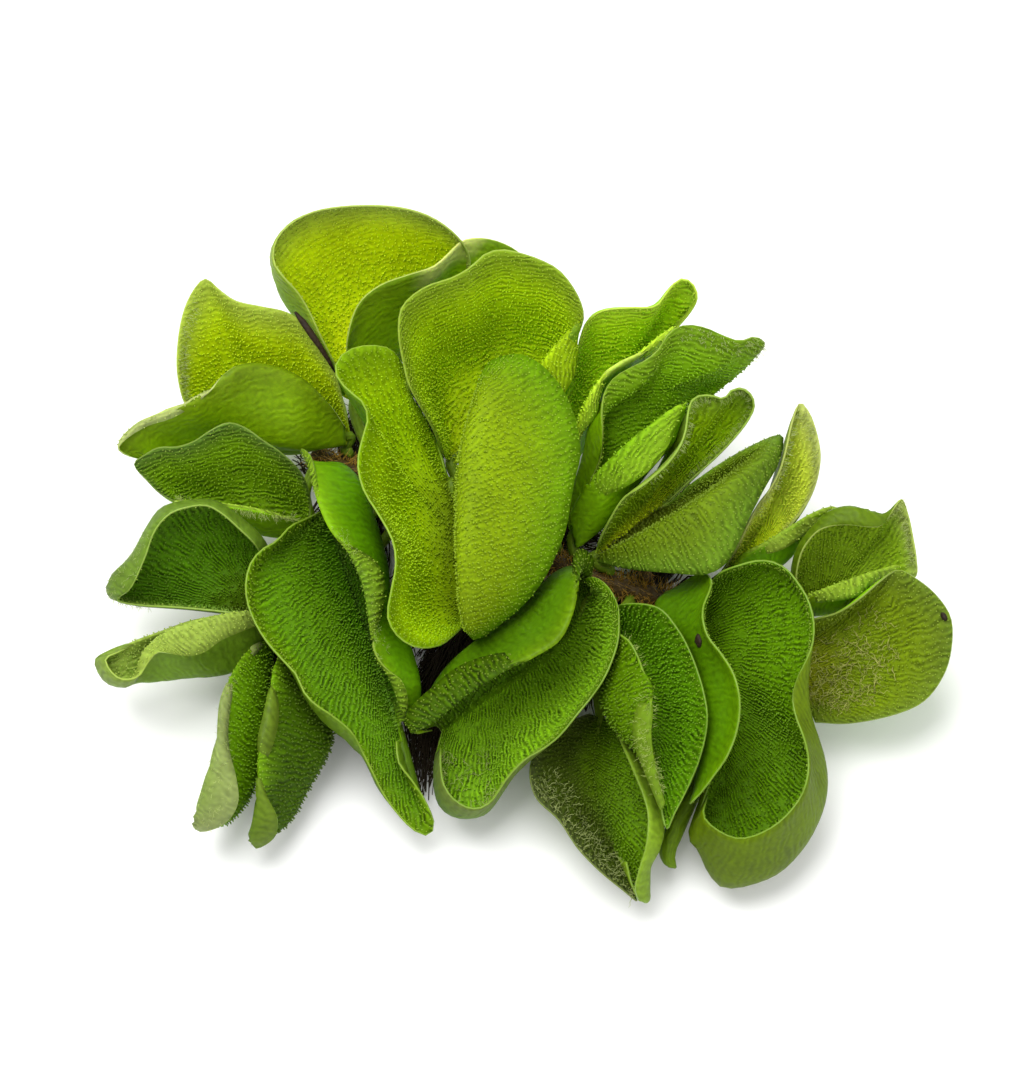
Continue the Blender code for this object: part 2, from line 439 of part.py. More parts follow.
                     (618, 607, 18), (619, 622, 18), (618, 640, 18), (612, 660, 18), (604, 678, 18),
                     (592, 696, 17), (578, 713, 17), (560, 735, 16), (545, 747, 15), (525, 759, 14),
                     (509, 775, 13), (500, 788, 12), (491, 801, 11), (479, 808, 11), (467, 807, 11),
                     (453, 798, 11), (444, 784, 11), (441, 766, 10.5), (441, 748, 10)],
             "crest": [(594, 588, 11), (608, 600, 16), (613, 622, 16), (610, 648, 16), (598, 680, 15),
                       (572, 712, 14), (545, 742, 13), (523, 759, 12), (508, 777, 10.5), (498, 794, 8.5),
                       (483, 812, 6.5), (461, 815, 6), (443, 807, 6), (436, 788, 7), (436, 754, 8)],
             "sag": (0, 0, -1)},
        ]},
}

# The floating stem and its branch, as plan lines, with thicknesses in mm.
STEM = {"line": [(313, 452, 6.2), (350, 470, 6), (400, 500, 5.5), (455, 522, 5), (520, 550, 5),
                 (600, 580, 5), (690, 604, 5), (764, 614, 5)],
        "thick": [0.9, 1.3, 1.4, 1.3, 1.4, 1.3, 1.2, 0.8]}
BRANCH = {"line": [(646, 566, 5.2), (651, 540, 5.6), (665, 512, 6.6), (691, 485, 8.6)],
          "root": (640, 592, 5), "thick": [1.0, 1.0, 0.9, 0.6]}

# A young leaf, still rolled up, on a stalk of its own.
YOUNG_LEAF = {"line": [(706, 636, 3.4), (706, 720, 3.8), (699, 780, 5.6), (687, 806, 6.6),
                       (676, 828, 6.2), (668, 846, 5.6), (669, 860, 5), (676, 868, 4.6)],
              "root": (702, 606, 5), "thick": [0.6, 0.6, 0.7, 0.9, 1.0, 1.15, 1.4, 1.0]}

# Root tufts: a crown under the stem and strands that lie on the floor.
ROOTS = {
    "roots_left": {
        "crown": (372, 484, 5.8),
        "strands": [[(356, 440), (350, 406)], [(330, 478), (298, 462)],
                    [(330, 530), (286, 620), (244, 822)], [(362, 560), (338, 690)],
                    [(404, 470), (426, 440)]]},
    "roots_middle": {
        "crown": (500, 542, 5),
        "strands": [[(470, 610), (432, 710), (418, 806)], [(486, 630), (456, 720), (440, 784)],
                    [(508, 640), (520, 710), (516, 780)], [(530, 620), (560, 700), (548, 784)],
                    [(512, 500), (530, 450)], [(464, 520), (440, 486)]]},
    "roots_right": {
        "crown": (652, 595, 5),
        "strands": [[(616, 590), (584, 640)], [(640, 650), (634, 730)],
                    [(680, 650), (700, 720), (696, 800)], [(720, 610), (800, 690)],
                    [(656, 556), (672, 508)]]},
}

LEAF_COLOUR = (0.13, 0.26, 0.02)
STEM_COLOUR = (0.30, 0.20, 0.04)
ROOT_COLOUR = (0.05, 0.03, 0.01)


def make_material(name, colour, roughness):
    material = bpy.data.materials.new(name)
    material.use_nodes = True
    shader = material.node_tree.nodes["Principled BSDF"]
    shader.inputs["Base Color"].default_value = (*colour, 1.0)
    shader.inputs["Roughness"].default_value = roughness
    shader.inputs["Metallic"].default_value = 0.0
    material.diffuse_color = (*colour, 1.0)
    return material


def cross_lobe(fold, lobe, share):
    """The lobe's section at a share of its length: fold, belly, crest and rim."""
    m = at(fold, share)
    r = at(lobe["rim"], share)
    sag = Vector(lobe.get("sag", (0.0, 0.0, 0.0))) * sin(pi * share) ** 0.6
    if "crest" in lobe:
        c = at(lobe["crest"], share)
    else:
        c = m.lerp(r, 0.80) + sag * 0.55
    if "belly" in lobe:
        b = at(lobe["belly"], share)
    else:
        b = m.lerp(c, 0.5) + sag
    return [place(*p) for p in (m, b, c, r)]


def lobe_stations():
    """Places across a lobe, as (section, share of that section)."""
    return [(0, 1.0), (1, 0.5), (1, 1.0), (2, 1.0)]


def section_point(points, knots, station):
    k, part = station
    return flow(points, knots, knots[k] + (knots[k + 1] - knots[k]) * part)


def leaf_sheet(leaf):
    """Rows of points over the upper face of a leaf, rim to rim."""
    fold = read_line(leaf["fold"])
    lobes = [{key: (read_line(value) if key != "sag" else value) for key, value in lobe.items()}
             for lobe in leaf["lobes"]]
    rows = []
    for i in range(STEPS_ALONG + 1):
        share = i / STEPS_ALONG
        halves = []
        for lobe in lobes:
            points = cross_lobe(fold, lobe, share)
            knots = measure(points)
            halves.append([section_point(points, knots, s) for s in lobe_stations()])
        rows.append(halves[0][::-1] + [place(*at(fold, share))] + halves[1])
    return rows


def add_object(name, bm, material):
    mesh = bpy.data.meshes.new(name)
    bm.to_mesh(mesh)
    bm.free()
    made = bpy.data.objects.new(name, mesh)
    bpy.context.collection.objects.link(made)
    if material:
        mesh.materials.append(material)
    return made


def make_leaf(name, leaf, material):
    """One folded leaf blade: its upper face, thickened downwards."""
    rows = leaf_sheet(leaf)
    across = len(rows[0]) - 1
    along = len(rows) - 1
    middle = len(lobe_stations())
    bm = bmesh.new()
    bmesh.ops.create_grid(bm, x_segments=across, y_segments=along, size=1.0)
    for v in bm.verts:
        i = round((v.co.y + 1.0) / 2.0 * along)
        j = round((v.co.x + 1.0) / 2.0 * across)
        v.co = rows[i][j]
    bm.normal_update()
    opening = Vector()
    for row in rows[1:-1]:
        opening += (row[0] + row[-1]) / 2.0 - row[middle]
    keel = [row[middle] for row in rows]
    lean = Vector()
    for f in bm.faces:
        if any((v.co - p).length < 1e-7 for v in f.verts for p in keel):
            lean += f.normal
    if lean.dot(opening) < 0.0:
        bmesh.ops.reverse_faces(bm, faces=bm.faces)
    blade = add_object(name, bm, material)
    wall = blade.modifiers.new("thickness", "SOLIDIFY")
    wall.thickness = LEAF_THICKNESS
    wall.offset = LEAF_OFFSET
    return blade


def add_tube(bm, centres, radii, sides, across=None):
    """A closed round strand through the centres."""
    side = across or Vector((0.0, 0.0, 1.0)).cross(centres[1] - centres[0])
    bmesh.ops.create_circle(bm, cap_ends=True, segments=sides, radius=1.0)
    bm.faces.ensure_lookup_table()
    cap = bm.faces[-1]
    turns = {v: k for k, v in enumerate(cap.verts)}
    last = len(centres) - 1
    for n, centre in enumerate(centres):
        ahead = (centres[min(n + 1, last)] - centres[max(n - 1, 0)]).normalized()
        side = (side - ahead * side.dot(ahead)).normalized()
        up = ahead.cross(side)
        if n > 0:
            old = {v.co.copy().freeze(): k for v, k in turns.items()}
            region = [cap] + list(cap.edges) + list(cap.verts)
            grown = bmesh.ops.extrude_face_region(bm, geom=region)["geom"]
            cap = next(g for g in grown if isinstance(g, bmesh.types.BMFace))
            turns = {v: old[v.co.copy().freeze()] for v in cap.verts}
        for v, k in turns.items():
            turn = 2.0 * pi * k / sides
            v.co = centre + (side * cos(turn) + up * sin(turn)) * radii[n]
    bmesh.ops.recalc_face_normals(bm, faces=bm.faces)


def stem_point(across, down, height):
    """Nearest point of the stem's middle line, its direction and its radius."""
    goal = place(across, down, height)
    best = None
    for i in range(241):
        share = i / 240.0
        point = place(*at(stem_line, share))
        if best is None or (point - goal).length < best[0]:
            best = ((point - goal).length, point, share)
    before = place(*at(stem_line, max(best[2] - 0.01, 0.0)))
    after = place(*at(stem_line, min(best[2] + 0.01, 1.0)))
    return best[1], (after - before).normalized(), stem_radius(best[2])


def stem_radius(share):
    knots = stem_line[1]
    thick = STEM["thick"]
    k = max(i for i in range(len(knots) - 1) if knots[i] <= share)
    part = (share - knots[k]) / (knots[k + 1] - knots[k])
    return (thick[k] * (1.0 - part) + thick[k + 1] * part) / 1000.0


def join_point(target, toward):
    """The last two points of a stalk that ends just short of the stem's side."""
    middle, ahead, radius = stem_point(*target)
    out = toward - middle
    out = (out - ahead * out.dot(ahead)).normalized()
    end = middle + out * (radius + JOIN_GAP)
    return [end + out * JOIN_LENGTH, end]


def smooth_path(points, count):
    """Evenly spaced points of the smooth curve through the points."""
    knots = measure(points)
    return [flow(points, knots, i / count) for i in range(count + 1)]


def smooth_values(values, count):
    last = len(values) - 1
    made = []
    for i in range(count + 1):
        k = min(int(i / count * last), last - 1)
        part = i / count * last - k
        made.append((values[k] * (1.0 - part) + values[k + 1] * part) / 1000.0)
    return made


def hide_tool(tool):
    tool.hide_render = True
    tool.display_type = "WIRE"


def add_join(owner, tool, how, cross_self=False):
    join = owner.modifiers.new(how.lower(), "BOOLEAN")
    join.object = tool
    join.operation = how
    join.solver = "EXACT"
    join.use_self = cross_self
    hide_tool(tool)


def make_stalk(name, leaf):
    """The stalk that carries a leaf, from inside its fold to the stem."""
    fold = read_line(leaf["fold"])
    route = [place(*at(fold, leaf.get("grip", 0.13))), place(*leaf["fold"][0])]
    route += [place(*p) for p in leaf["stalk"][:-1]]
    route += join_point(leaf["stalk"][-1], route[-1])
    inner, base, outer = STALK_RADII
    radii = [inner, base] + [outer] * (len(route) - 2)
    bm = bmesh.new()
    add_tube(bm, route, radii, TUBE_SIDES)
    return add_object(name + "_stalk", bm, None)


def make_strand(name, strand, material, count, rooted):
    """A round piece along a plan line, begun just off the stem where it is rooted."""
    points = [place(*p) for p in strand["line"]]
    thick = list(strand["thick"])
    if rooted:
        points = join_point(strand["root"], points[0])[::-1] + points
        thick = thick[:1] * 2 + thick
    centres = smooth_path(points, count)
    bm = bmesh.new()
    add_tube(bm, centres, smooth_values(thick, count), TUBE_SIDES)
    made = add_object(name, bm, material)
    made.data.shade_smooth()
    return made


def make_root(name, root, material):
    """A crown under the stem with its strands spread over the floor."""
    middle, ahead, radius = stem_point(*root["crown"])
    height = middle.z - radius - JOIN_GAP
    bm = bmesh.new()
    bmesh.ops.create_cone(bm, cap_ends=True, segments=12, radius1=CROWN_RADIUS,
                          radius2=CROWN_TOP_RADIUS, depth=height)
    bmesh.ops.translate(bm, verts=bm.verts, vec=(middle.x, middle.y, height / 2.0))
    crown = add_object(name, bm, material)
    crown.data.shade_smooth()
    bm = bmesh.new()
    for strand in root["strands"]:
        radii = [STRAND_RADII[0], STRAND_RADII[1]]
        radii += [STRAND_RADII[2]] * (len(strand) - 2) + [STRAND_RADII[3]]
        centres = [Vector((middle.x, middle.y, 0.001))]
        for p, r in zip(strand, radii[1:]):
            centres.append(place(p[0], p[1], r * 750.0))
        spread = Vector((0.0, 0.0, 1.0)).cross(centres[1] - centres[0])
        add_tube(bm, centres, radii, ROOT_SIDES, spread)
    add_join(crown, add_object(name + "_strands", bm, None), "UNION", True)
    bm = bmesh.new()
    bmesh.ops.create_cube(bm, size=1.0)
    bmesh.ops.scale(bm, verts=bm.verts, vec=(0.4, 0.4, 0.01))
    bmesh.ops.translate(bm, verts=bm.verts, vec=(0.0, 0.0, -0.005))
    add_join(crown, add_object(name + "_floor", bm, None), "DIFFERENCE")
    return crown


stem_line = read_line(STEM["line"])

for name, leaf in LEAVES.items():
    blade = make_leaf(name, leaf, make_material(name + "_green", LEAF_COLOUR, 0.55))
    add_join(blade, make_stalk(name, leaf), "UNION")

make_strand("rhizome", STEM, make_material("rhizome_brown", STEM_COLOUR, 0.7), 14, False)
make_strand("rhizome_branch", BRANCH, make_material("branch_brown", STEM_COLOUR, 0.7), 6, True)
make_strand("leaf_young", YOUNG_LEAF, make_material("leaf_young_green", LEAF_COLOUR, 0.55), 12, True)

for name, root in ROOTS.items():
    make_root(name, root, make_material(name + "_brown", ROOT_COLOUR, 0.8))
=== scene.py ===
import random
from math import cos, pi, radians, sin

import bmesh
import bpy
import numpy as np
from mathutils import Matrix, Vector
from mathutils.bvhtree import BVHTree


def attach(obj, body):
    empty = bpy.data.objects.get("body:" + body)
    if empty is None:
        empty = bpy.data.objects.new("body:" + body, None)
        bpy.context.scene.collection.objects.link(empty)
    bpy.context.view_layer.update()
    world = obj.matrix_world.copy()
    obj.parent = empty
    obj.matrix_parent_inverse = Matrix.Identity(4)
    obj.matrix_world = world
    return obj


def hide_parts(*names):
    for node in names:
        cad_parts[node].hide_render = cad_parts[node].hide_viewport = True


# A mature salvinia plant on a pale floor, seen from above and a little from
# the front. Plan points are (across, down, height): steps across and down the
# view, and millimetres above the floor.

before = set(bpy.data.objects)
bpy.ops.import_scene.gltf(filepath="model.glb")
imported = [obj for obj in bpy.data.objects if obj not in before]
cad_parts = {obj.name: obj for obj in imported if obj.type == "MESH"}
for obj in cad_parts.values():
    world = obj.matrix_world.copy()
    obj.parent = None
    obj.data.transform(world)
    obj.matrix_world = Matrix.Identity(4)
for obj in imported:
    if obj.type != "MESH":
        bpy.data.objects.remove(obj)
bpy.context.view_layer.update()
print("frame loaded")

planView = {
    "step": 0.00014,          # metres to one plan step
    "middle": (512.0, 545.5),
    "angle": 69.0,            # degrees above the horizon
    "distance": 0.60,
    "height": 0.018,
    "shift": (-0.00115, 0.00074, 0.0),
}


def planPoint(across, down, height):
    tilt = radians(planView["angle"])
    sight = Vector((0.0, -cos(tilt), sin(tilt)))
    up = Vector((0.0, sin(tilt), cos(tilt)))
    middle = Vector((0.0, 0.0, planView["height"]))
    eye = middle + sight * planView["distance"]
    right = (across - planView["middle"][0]) * planView["step"]
    rise = (planView["middle"][1] - down) * planView["step"]
    ray = middle + Vector((right, 0.0, 0.0)) + up * rise - eye
    return eye + ray * ((height / 1000.0 - eye.z) / ray.z) + Vector(planView["shift"])


def lengthShares(points):
    reach = [0.0]
    for a, b in zip(points, points[1:]):
        reach.append(reach[-1] + max((b - a).length, 1e-9))
    return [r / reach[-1] for r in reach]


def curvePoint(points, knots, share):
    last = len(points) - 1
    k = 0
    while k < last - 1 and share > knots[k + 1]:
        k += 1
    width = knots[k + 1] - knots[k]
    t = (share - knots[k]) / width

    def slope(i):
        low = max(i - 1, 0)
        high = min(i + 1, last)
        return (points[high] - points[low]) / (knots[high] - knots[low])

    lean = slope(k) * width
    arrive = slope(k + 1) * width
    t2 = t * t
    t3 = t2 * t
    return (points[k] * (2 * t3 - 3 * t2 + 1) + lean * (t3 - 2 * t2 + t)
            + points[k + 1] * (3 * t2 - 2 * t3) + arrive * (t3 - t2))


def readLine(line):
    points = [Vector(p) for p in line]
    flat = [Vector((p.x, p.y, p.z * 7.0)) for p in points]
    return points, lengthShares(flat)


def lineAt(line, share):
    return curvePoint(line[0], line[1], share)


def evenPath(points, count):
    knots = lengthShares(points)
    return [curvePoint(points, knots, i / count) for i in range(count + 1)]


def screenTone(tone):
    # screen values 0 to 255 as the linear colour that a shader takes
    made = []
    for c in tone:
        c = c / 255.0
        made.append(c / 12.92 if c <= 0.04045 else ((c + 0.055) / 1.055) ** 2.4)
    return np.array(made)


def blendTone(a, b, part):
    return a * (1.0 - part) + b * part


def ramp(low, high, value):
    t = np.clip((value - low) / (high - low), 0.0, 1.0)
    return t * t * (3.0 - 2.0 * t)


# Plans and looks of the pieces

# "deep" is the tone by the fold: painted shade in the crease, and a painted highlight on leaves where it is the
# lighter tone
# "edge" is the tone toward the rim and the tip: a paler margin with painted sheen; "ripple" scales the ridges, a
# bump with painted shade along the hair rows
leafLook = {
    "deep": (74, 84, 10), "deepTo": (0.0, 0.45),
    "mid": (96, 146, 12),
    "edge": (150, 190, 22), "edgeFrom": 0.72, "tipFrom": 0.85,
    "smooth": (96, 152, 8), "smoothEdge": (132, 186, 14),
    "rim": (186, 204, 96),
    "hair": (176, 196, 70), "hairTint": 0.06, "rimHairTint": 0.28,
    "stalk": (98, 124, 22),
    "rowGap": 0.00082, "step": 0.00062, "height": 0.00042, "foldHeight": 0.4,
    "hairRadius": 0.00014, "hairSide": 1.0, "ridge": "across", "ripple": 1.0,
}

# Each leaf is folded up along its short middle line. A lobe runs from that
# fold, over a belly and a crest, out to its rim.
# each leaf's and lobe's tones are matched to how lit each band looks, so besides the leaf's colour they carry
# painted light and shade
leafPlans = {
    "leaf_back_left": {
        "fold": [(354, 402, 8), (392, 368, 11), (440, 330, 15)],
        "stalk": [(364, 440, 6.4), (370, 482, 5.8)],
        # the bright deep tone is a painted highlight by the fold
        "look": {"deep": (218, 222, 0), "mid": (178, 200, 2), "edge": (140, 158, 72),
                 "smooth": (132, 172, 4), "smoothEdge": (124, 150, 40), "ridge": "along", "ripple": 0.36},
        "lobes": [
            {"rim": [(346, 390, 11), (334, 362, 17), (321, 336, 20), (309, 310, 22), (297, 291, 24),
                     (284, 277, 26), (274, 262, 27), (275, 244, 28), (284, 230, 29), (300, 218, 30),
                     (322, 210, 31), (360, 206, 32), (400, 208, 32), (432, 218, 31), (458, 238, 29),
                     (470, 262, 25), (462, 298, 20), (447, 322, 17)],
             "crest": [(344, 396, 10), (326, 362, 15), (300, 322, 18), (283, 298, 20), (274, 268, 23),
                       (277, 245, 25), (300, 222, 27), (360, 211, 29), (430, 224, 28), (462, 250, 25),
                       (458, 300, 19), (447, 324, 16)],
             "sag": (0, 0, -2.5)},
            {"look": {"smoothEdge": (98, 128, 8), "patch": (0.48, 0.62, 0.84, 1.0),
                      "patchTone": (196, 204, 110)},
             "rim": [(352, 396, 11), (347, 366, 17), (347, 340, 22), (353, 315, 25), (363, 298, 27),
                     (382, 284, 28), (410, 274, 29), (434, 266, 29), (449, 253, 29), (462, 241, 28),
                     (482, 238, 27), (505, 244, 26), (521, 256, 24), (515, 282, 20), (482, 312, 17),
                     (450, 330, 16)],
             "belly": [(360, 402, 10), (392, 352, 15), (440, 312, 18), (480, 300, 18), (455, 330, 15)]},
        ]},
    "leaf_left_upper": {
        "fold": [(350, 437, 7.4), (290, 453, 9.5), (215, 440, 12)],
        "stalk": [(345, 450, 6.6), (342, 467, 6)],
        "look": {"deep": (156, 180, 4), "mid": (166, 190, 2), "edge": (144, 162, 60),
                 "smooth": (116, 150, 2), "ridge": "along", "ripple": 0.38},
        "fringe": {"lobe": 0, "s": (0.62, 0.90), "w": (0.88, 1.0), "count": 170, "length": 0.0010,
                   "tone": (180, 194, 120), "lie": 0.3},
        # a dark strip along the rim, in the slit between this leaf and the next
        "scar": {"line": [(295, 312, 22.8), (303, 322, 22.3), (312, 335, 21.5), (321, 348, 20.4),
                          (329, 361, 18.8), (335, 372, 17.3)],
                 "radii": (0.0002, 0.00048, 0.0005, 0.0004, 0.0003, 0.00012)},
        "lobes": [
            {"rim": [(347, 420, 10), (342, 398, 13), (334, 372, 17), (318, 346, 20), (300, 321, 22),
                     (285, 312, 23), (262, 307, 24), (235, 301, 25), (220, 291, 25), (205, 279, 26),
                     (192, 293, 25), (183, 315, 24), (178, 345, 22), (178, 375, 20), (186, 405, 17),
                     (206, 430, 14)],
             "sag": (0, 0, -3)},
            {"look": {"edge": (160, 172, 110), "smoothEdge": (104, 130, 8)},
             "rim": [(346, 428, 10), (330, 405, 14), (304, 380, 18), (280, 368, 20), (250, 363, 22),
                     (234, 367, 23), (220, 378, 23), (209, 392, 23), (195, 404, 22), (172, 418, 21),
                     (145, 427, 19), (118, 448, 17), (145, 460, 14), (185, 452, 13), (210, 445, 13)],
             "crest": [(345, 428, 10), (305, 384, 18), (252, 366, 22), (222, 380, 23), (203, 392, 23),
                       (186, 402, 23), (165, 410, 22), (135, 425, 19), (120, 447, 16), (160, 455, 14),
                       (205, 446, 13)],
             "belly": [(346, 444, 8.4), (300, 445, 12), (240, 434, 14.5), (185, 441, 15), (160, 455, 14),
                       (205, 448, 12)]},
        ]},
    "leaf_left_middle": {
        "fold": [(312, 530, 5.5), (265, 530, 7), (205, 517, 10)],
        "grip": 0.10,
        "stalk": [(305, 494, 5.2), (320, 456, 6.1)],
        # the smooth tone is painted lighter to make up for the shade of other leaves
        "look": {"deep": (88, 122, 0), "mid": (110, 150, 8), "edge": (72, 98, 34),
                 "smooth": (116, 162, 2), "ridge": "along", "ripple": 1.1},
        "fringe": {"lobe": 1, "s": (0.15, 0.85), "w": (0.93, 1.0), "count": 260, "length": 0.0010,
                   "tone": (178, 196, 106), "lie": 0.3},
        "lobes": [
            {"rim": [(309, 520, 7), (310, 497, 10.2), (300, 472, 14.6), (281, 453, 18), (262, 440, 20),
                     (245, 428, 21), (228, 423, 22), (210, 431, 22), (195, 441, 21), (178, 447, 20),
                     (158, 448, 19), (145, 455, 18), (134, 464, 17), (146, 479, 15), (163, 495, 13),
                     (195, 510, 11)],
             "sag": (0, 0, -2.5)},
            {"look": {"mid": (134, 166, 44), "edge": (146, 178, 52)},
             "rim": [(310, 526, 7), (298, 522, 10), (282, 519, 12.5), (262, 515, 14), (235, 511, 15),
                     (205, 507, 15), (184, 504, 14), (175, 501, 13), (190, 513, 11)],
             "crest": [(309, 525, 7), (290, 518, 11.5), (262, 510, 15), (225, 504, 16), (190, 501, 14.5),
                       (178, 502, 12), (196, 514, 10)],
             "belly": [(311, 534, 6), (282, 536, 8.5), (240, 528, 11), (200, 516, 11), (200, 517, 10)]},
        ]},
    "leaf_left_outer": {
        "fold": [(276, 600, 8), (260, 608, 9), (243, 614, 11)],
        "flip": -1.0,
        "stalk": [(300, 575, 4.5), (326, 532, 3.4), (354, 494, 4.4), (356, 474, 5.9)],
        "look": {"deep": (60, 84, 0), "mid": (70, 112, 4), "edge": (126, 156, 60),
                 "smooth": (86, 114, 20), "smoothEdge": (94, 122, 34), "ripple": 1.2},
        "fringe": {"lobe": 0, "side": -1.0, "s": (0.50, 0.78), "w": (0.82, 1.0), "count": 160,
                   "length": 0.0009, "tone": (178, 192, 114), "lie": 0.6},
        "lobes": [
            {"rim": [(273, 592, 9), (266, 566, 12), (255, 545, 16), (240, 530, 18), (222, 514, 20),
                     (207, 506, 21), (190, 507, 22), (170, 514, 22), (155, 531, 21), (145, 558, 19),
                     (131, 588, 17), (118, 600, 14), (140, 605, 13), (175, 607, 12), (210, 610, 12),
                     (236, 613, 12)],
             "crest": [(274, 591, 9), (272, 564, 10), (262, 540, 14), (240, 519, 16), (215, 503, 18),
                       (190, 503, 19), (163, 510, 19), (147, 531, 18), (133, 557, 16), (113, 577, 14),
                       (110, 594, 12), (130, 603, 12), (180, 607, 11), (235, 613, 11)],
             "sag": (0, 0, -2.5)},
            {"look": {"mid": (148, 172, 70), "edge": (136, 158, 60), "ripple": 0.5,
                      "smooth": (104, 138, 28),
                      "smoothEdge": (112, 134, 50)},
             "rim": [(272, 604, 9), (264, 622, 12), (250, 628, 14), (235, 634, 15), (220, 641, 16),
                     (205, 652, 16), (190, 656, 16), (172, 654, 16), (158, 652, 16), (148, 662, 15),
                     (138, 676, 14), (122, 679, 13), (111, 671, 13), (106, 659, 13), (120, 652, 13),
                     (150, 637, 13), (190, 621, 13), (232, 614, 12)],
             "crest": [(272, 603, 10), (258, 610, 14), (230, 614, 17), (200, 620, 18), (170, 630, 18),
                       (145, 650, 14), (130, 684, 10), (108, 682, 9), (96, 663, 10), (106, 654, 12),
                       (150, 636, 14), (232, 613, 12)],
             "belly": [(272, 612, 8), (258, 650, 8), (228, 672, 8), (190, 676, 8), (150, 680, 8),
                       (125, 678, 9), (120, 660, 11), (160, 640, 12), (236, 615, 11)]},
        ]},
    "leaf_low_left_outer": {
        "fold": [(270, 640, 6), (250, 705, 4), (236, 765, 4)],
        "flip": -1.0,
        "stalk": [(290, 612, 3.2), (345, 545, 3), (382, 504, 3.6), (387, 491, 5.6)],
        "look": {"deep": (84, 120, 2), "mid": (88, 130, 2), "edge": (100, 136, 14),
                 "smooth": (108, 136, 40), "smoothEdge": (130, 144, 80), "ripple": 0.9},
        "fringe": {"lobe": 0, "side": -1.0, "s": (0.25, 0.90), "w": (0.70, 1.0), "count": 260,
                   "length": 0.0009, "tone": (178, 192, 114), "lie": 0.6},
        "lobes": [
            {"rim": [(266, 642, 8), (256, 654, 12), (244, 664, 14), (235, 684, 16), (229, 712, 17),
                     (228, 745, 17), (237, 782, 16), (238, 803, 14), (226, 822, 11), (205, 831, 9),
                     (195, 828, 8), (210, 800, 8), (226, 775, 6)],
             "crest": [(268, 640, 8), (250, 650, 13), (234, 672, 17), (222, 700, 18), (217, 742, 18),
                       (205, 785, 16), (194, 824, 10), (202, 822, 7), (226, 778, 5)],
             "belly": [(272, 645, 7), (266, 690, 10), (262, 740, 10), (250, 795, 8), (225, 822, 6),
                       (216, 800, 5), (232, 772, 4)]},
            {"rim": [(258, 646, 6.5), (240, 672, 7.5), (228, 704, 8), (220, 745, 8), (214, 780, 7),
                     (218, 794, 6), (228, 782, 4.5)],
             "sag": (0, 0, -0.6)},
        ]},
    "leaf_low_left_inner": {
        "fold": [(296, 650, 6), (290, 715, 3.5), (280, 775, 3)],
        "flip": -1.0,
        "stalk": [(320, 620, 3.2), (372, 556, 3), (404, 514, 3.6), (408, 503, 5.4)],
        "look": {"deep": (56, 82, 2), "mid": (56, 84, 2), "edge": (112, 156, 14),
                 "smooth": (84, 116, 14), "smoothEdge": (90, 112, 26), "ripple": 1.0},
        "lobes": [
            {"rim": [(290, 650, 8), (279, 658, 12), (272, 676, 14), (278, 703, 15), (278, 722, 15),
                     (272, 747, 15), (263, 768, 14), (264, 790, 13), (277, 817, 11), (275, 836, 8),
                     (257, 848, 6), (252, 842, 6), (260, 816, 6.5), (270, 796, 6.5)],
             "crest": [(292, 648, 8), (280, 656, 12), (272, 680, 15), (266, 712, 16), (259, 742, 16),
                       (258, 772, 15), (257, 805, 12), (250, 838, 8), (258, 838, 5.5), (279, 800, 5.5)],
             "belly": [(300, 655, 7), (320, 700, 8), (331, 740, 7), (308, 788, 6), (288, 822, 5),
                       (276, 824, 4.2), (287, 790, 3.5)]},
            {"rim": [(290, 652, 5), (278, 690, 6), (270, 735, 6), (264, 770, 5), (264, 784, 4.6),
                     (267, 782, 4.2)],
             "sag": (0, 0, -1)},
        ]},
    "leaf_front_left": {
        "fold": [(326, 506, 7), (352, 590, 7), (386, 680, 8), (400, 722, 10)],
        "stalk": [(328, 490, 6.6), (334, 463, 6.1)],
        # the smooth tone is painted darker for the shadow other leaves cast on this lobe: painted shade
        "look": {"deep": (74, 124, 6), "mid": (80, 122, 4), "edge": (94, 128, 4), "smooth": (62, 90, 4),
                 "smoothEdge": (86, 116, 16), "ripple": 1.2},
        "fringe": {"lobe": 1, "side": -1.0, "s": (0.40, 0.80), "w": (0.80, 1.0), "count": 160,
                   "length": 0.0010, "tone": (170, 192, 100), "lie": 0.6},
        "lobes": [
            {"rim": [(320, 512, 10), (306, 519, 14), (290, 527, 17), (277, 541, 18), (262, 550, 18.5),
                     (251, 563, 19), (246, 583, 19), (248, 604, 18), (256, 624, 18), (268, 643, 18),
                     (283, 660, 18), (297, 675, 18), (303, 690, 18), (314, 703, 18), (332, 715, 17),
                     (352, 732, 15), (363, 752, 12), (373, 772, 10.5), (384, 794, 9), (400, 816, 7.5),
                     (416, 831, 6.5), (429, 835, 6), (434, 824, 7), (424, 799, 9), (412, 781, 10),
                     (398, 762, 11), (396, 742, 11)],
             "crest": [(322, 514, 9), (300, 530, 13), (268, 556, 15), (255, 585, 16), (262, 618, 15),
                       (288, 655, 15), (306, 692, 15), (323, 718, 14), (346, 738, 12), (365, 758, 10),
                       (380, 790, 8.5), (398, 814, 7), (422, 831, 5.5), (424, 808, 7.5), (408, 778, 9),
                       (400, 738, 9.5)],
             "sag": (0, 0, 1.5)},
            {"look": {"deep": (48, 86, 2), "mid": (80, 116, 20), "edge": (108, 138, 26),
                      "smooth": (86, 136, 0), "smoothEdge": (114, 156, 10)},
             "rim": [(322, 494, 10), (310, 468, 13), (301, 449, 16), (310, 455, 18), (316, 475, 20),
                     (320, 496, 21), (328, 520, 22), (340, 537, 23), (356, 549, 23), (373, 559, 23),
                     (383, 574, 23), (385, 592, 23), (382, 612, 22), (375, 632, 21), (373, 646, 20),
                     (379, 660, 19), (389, 671, 18), (401, 680, 17), (408, 700, 14), (405, 716, 12)],
             "crest": [(324, 496, 9), (312, 470, 13), (308, 462, 17), (318, 500, 22), (332, 532, 24),
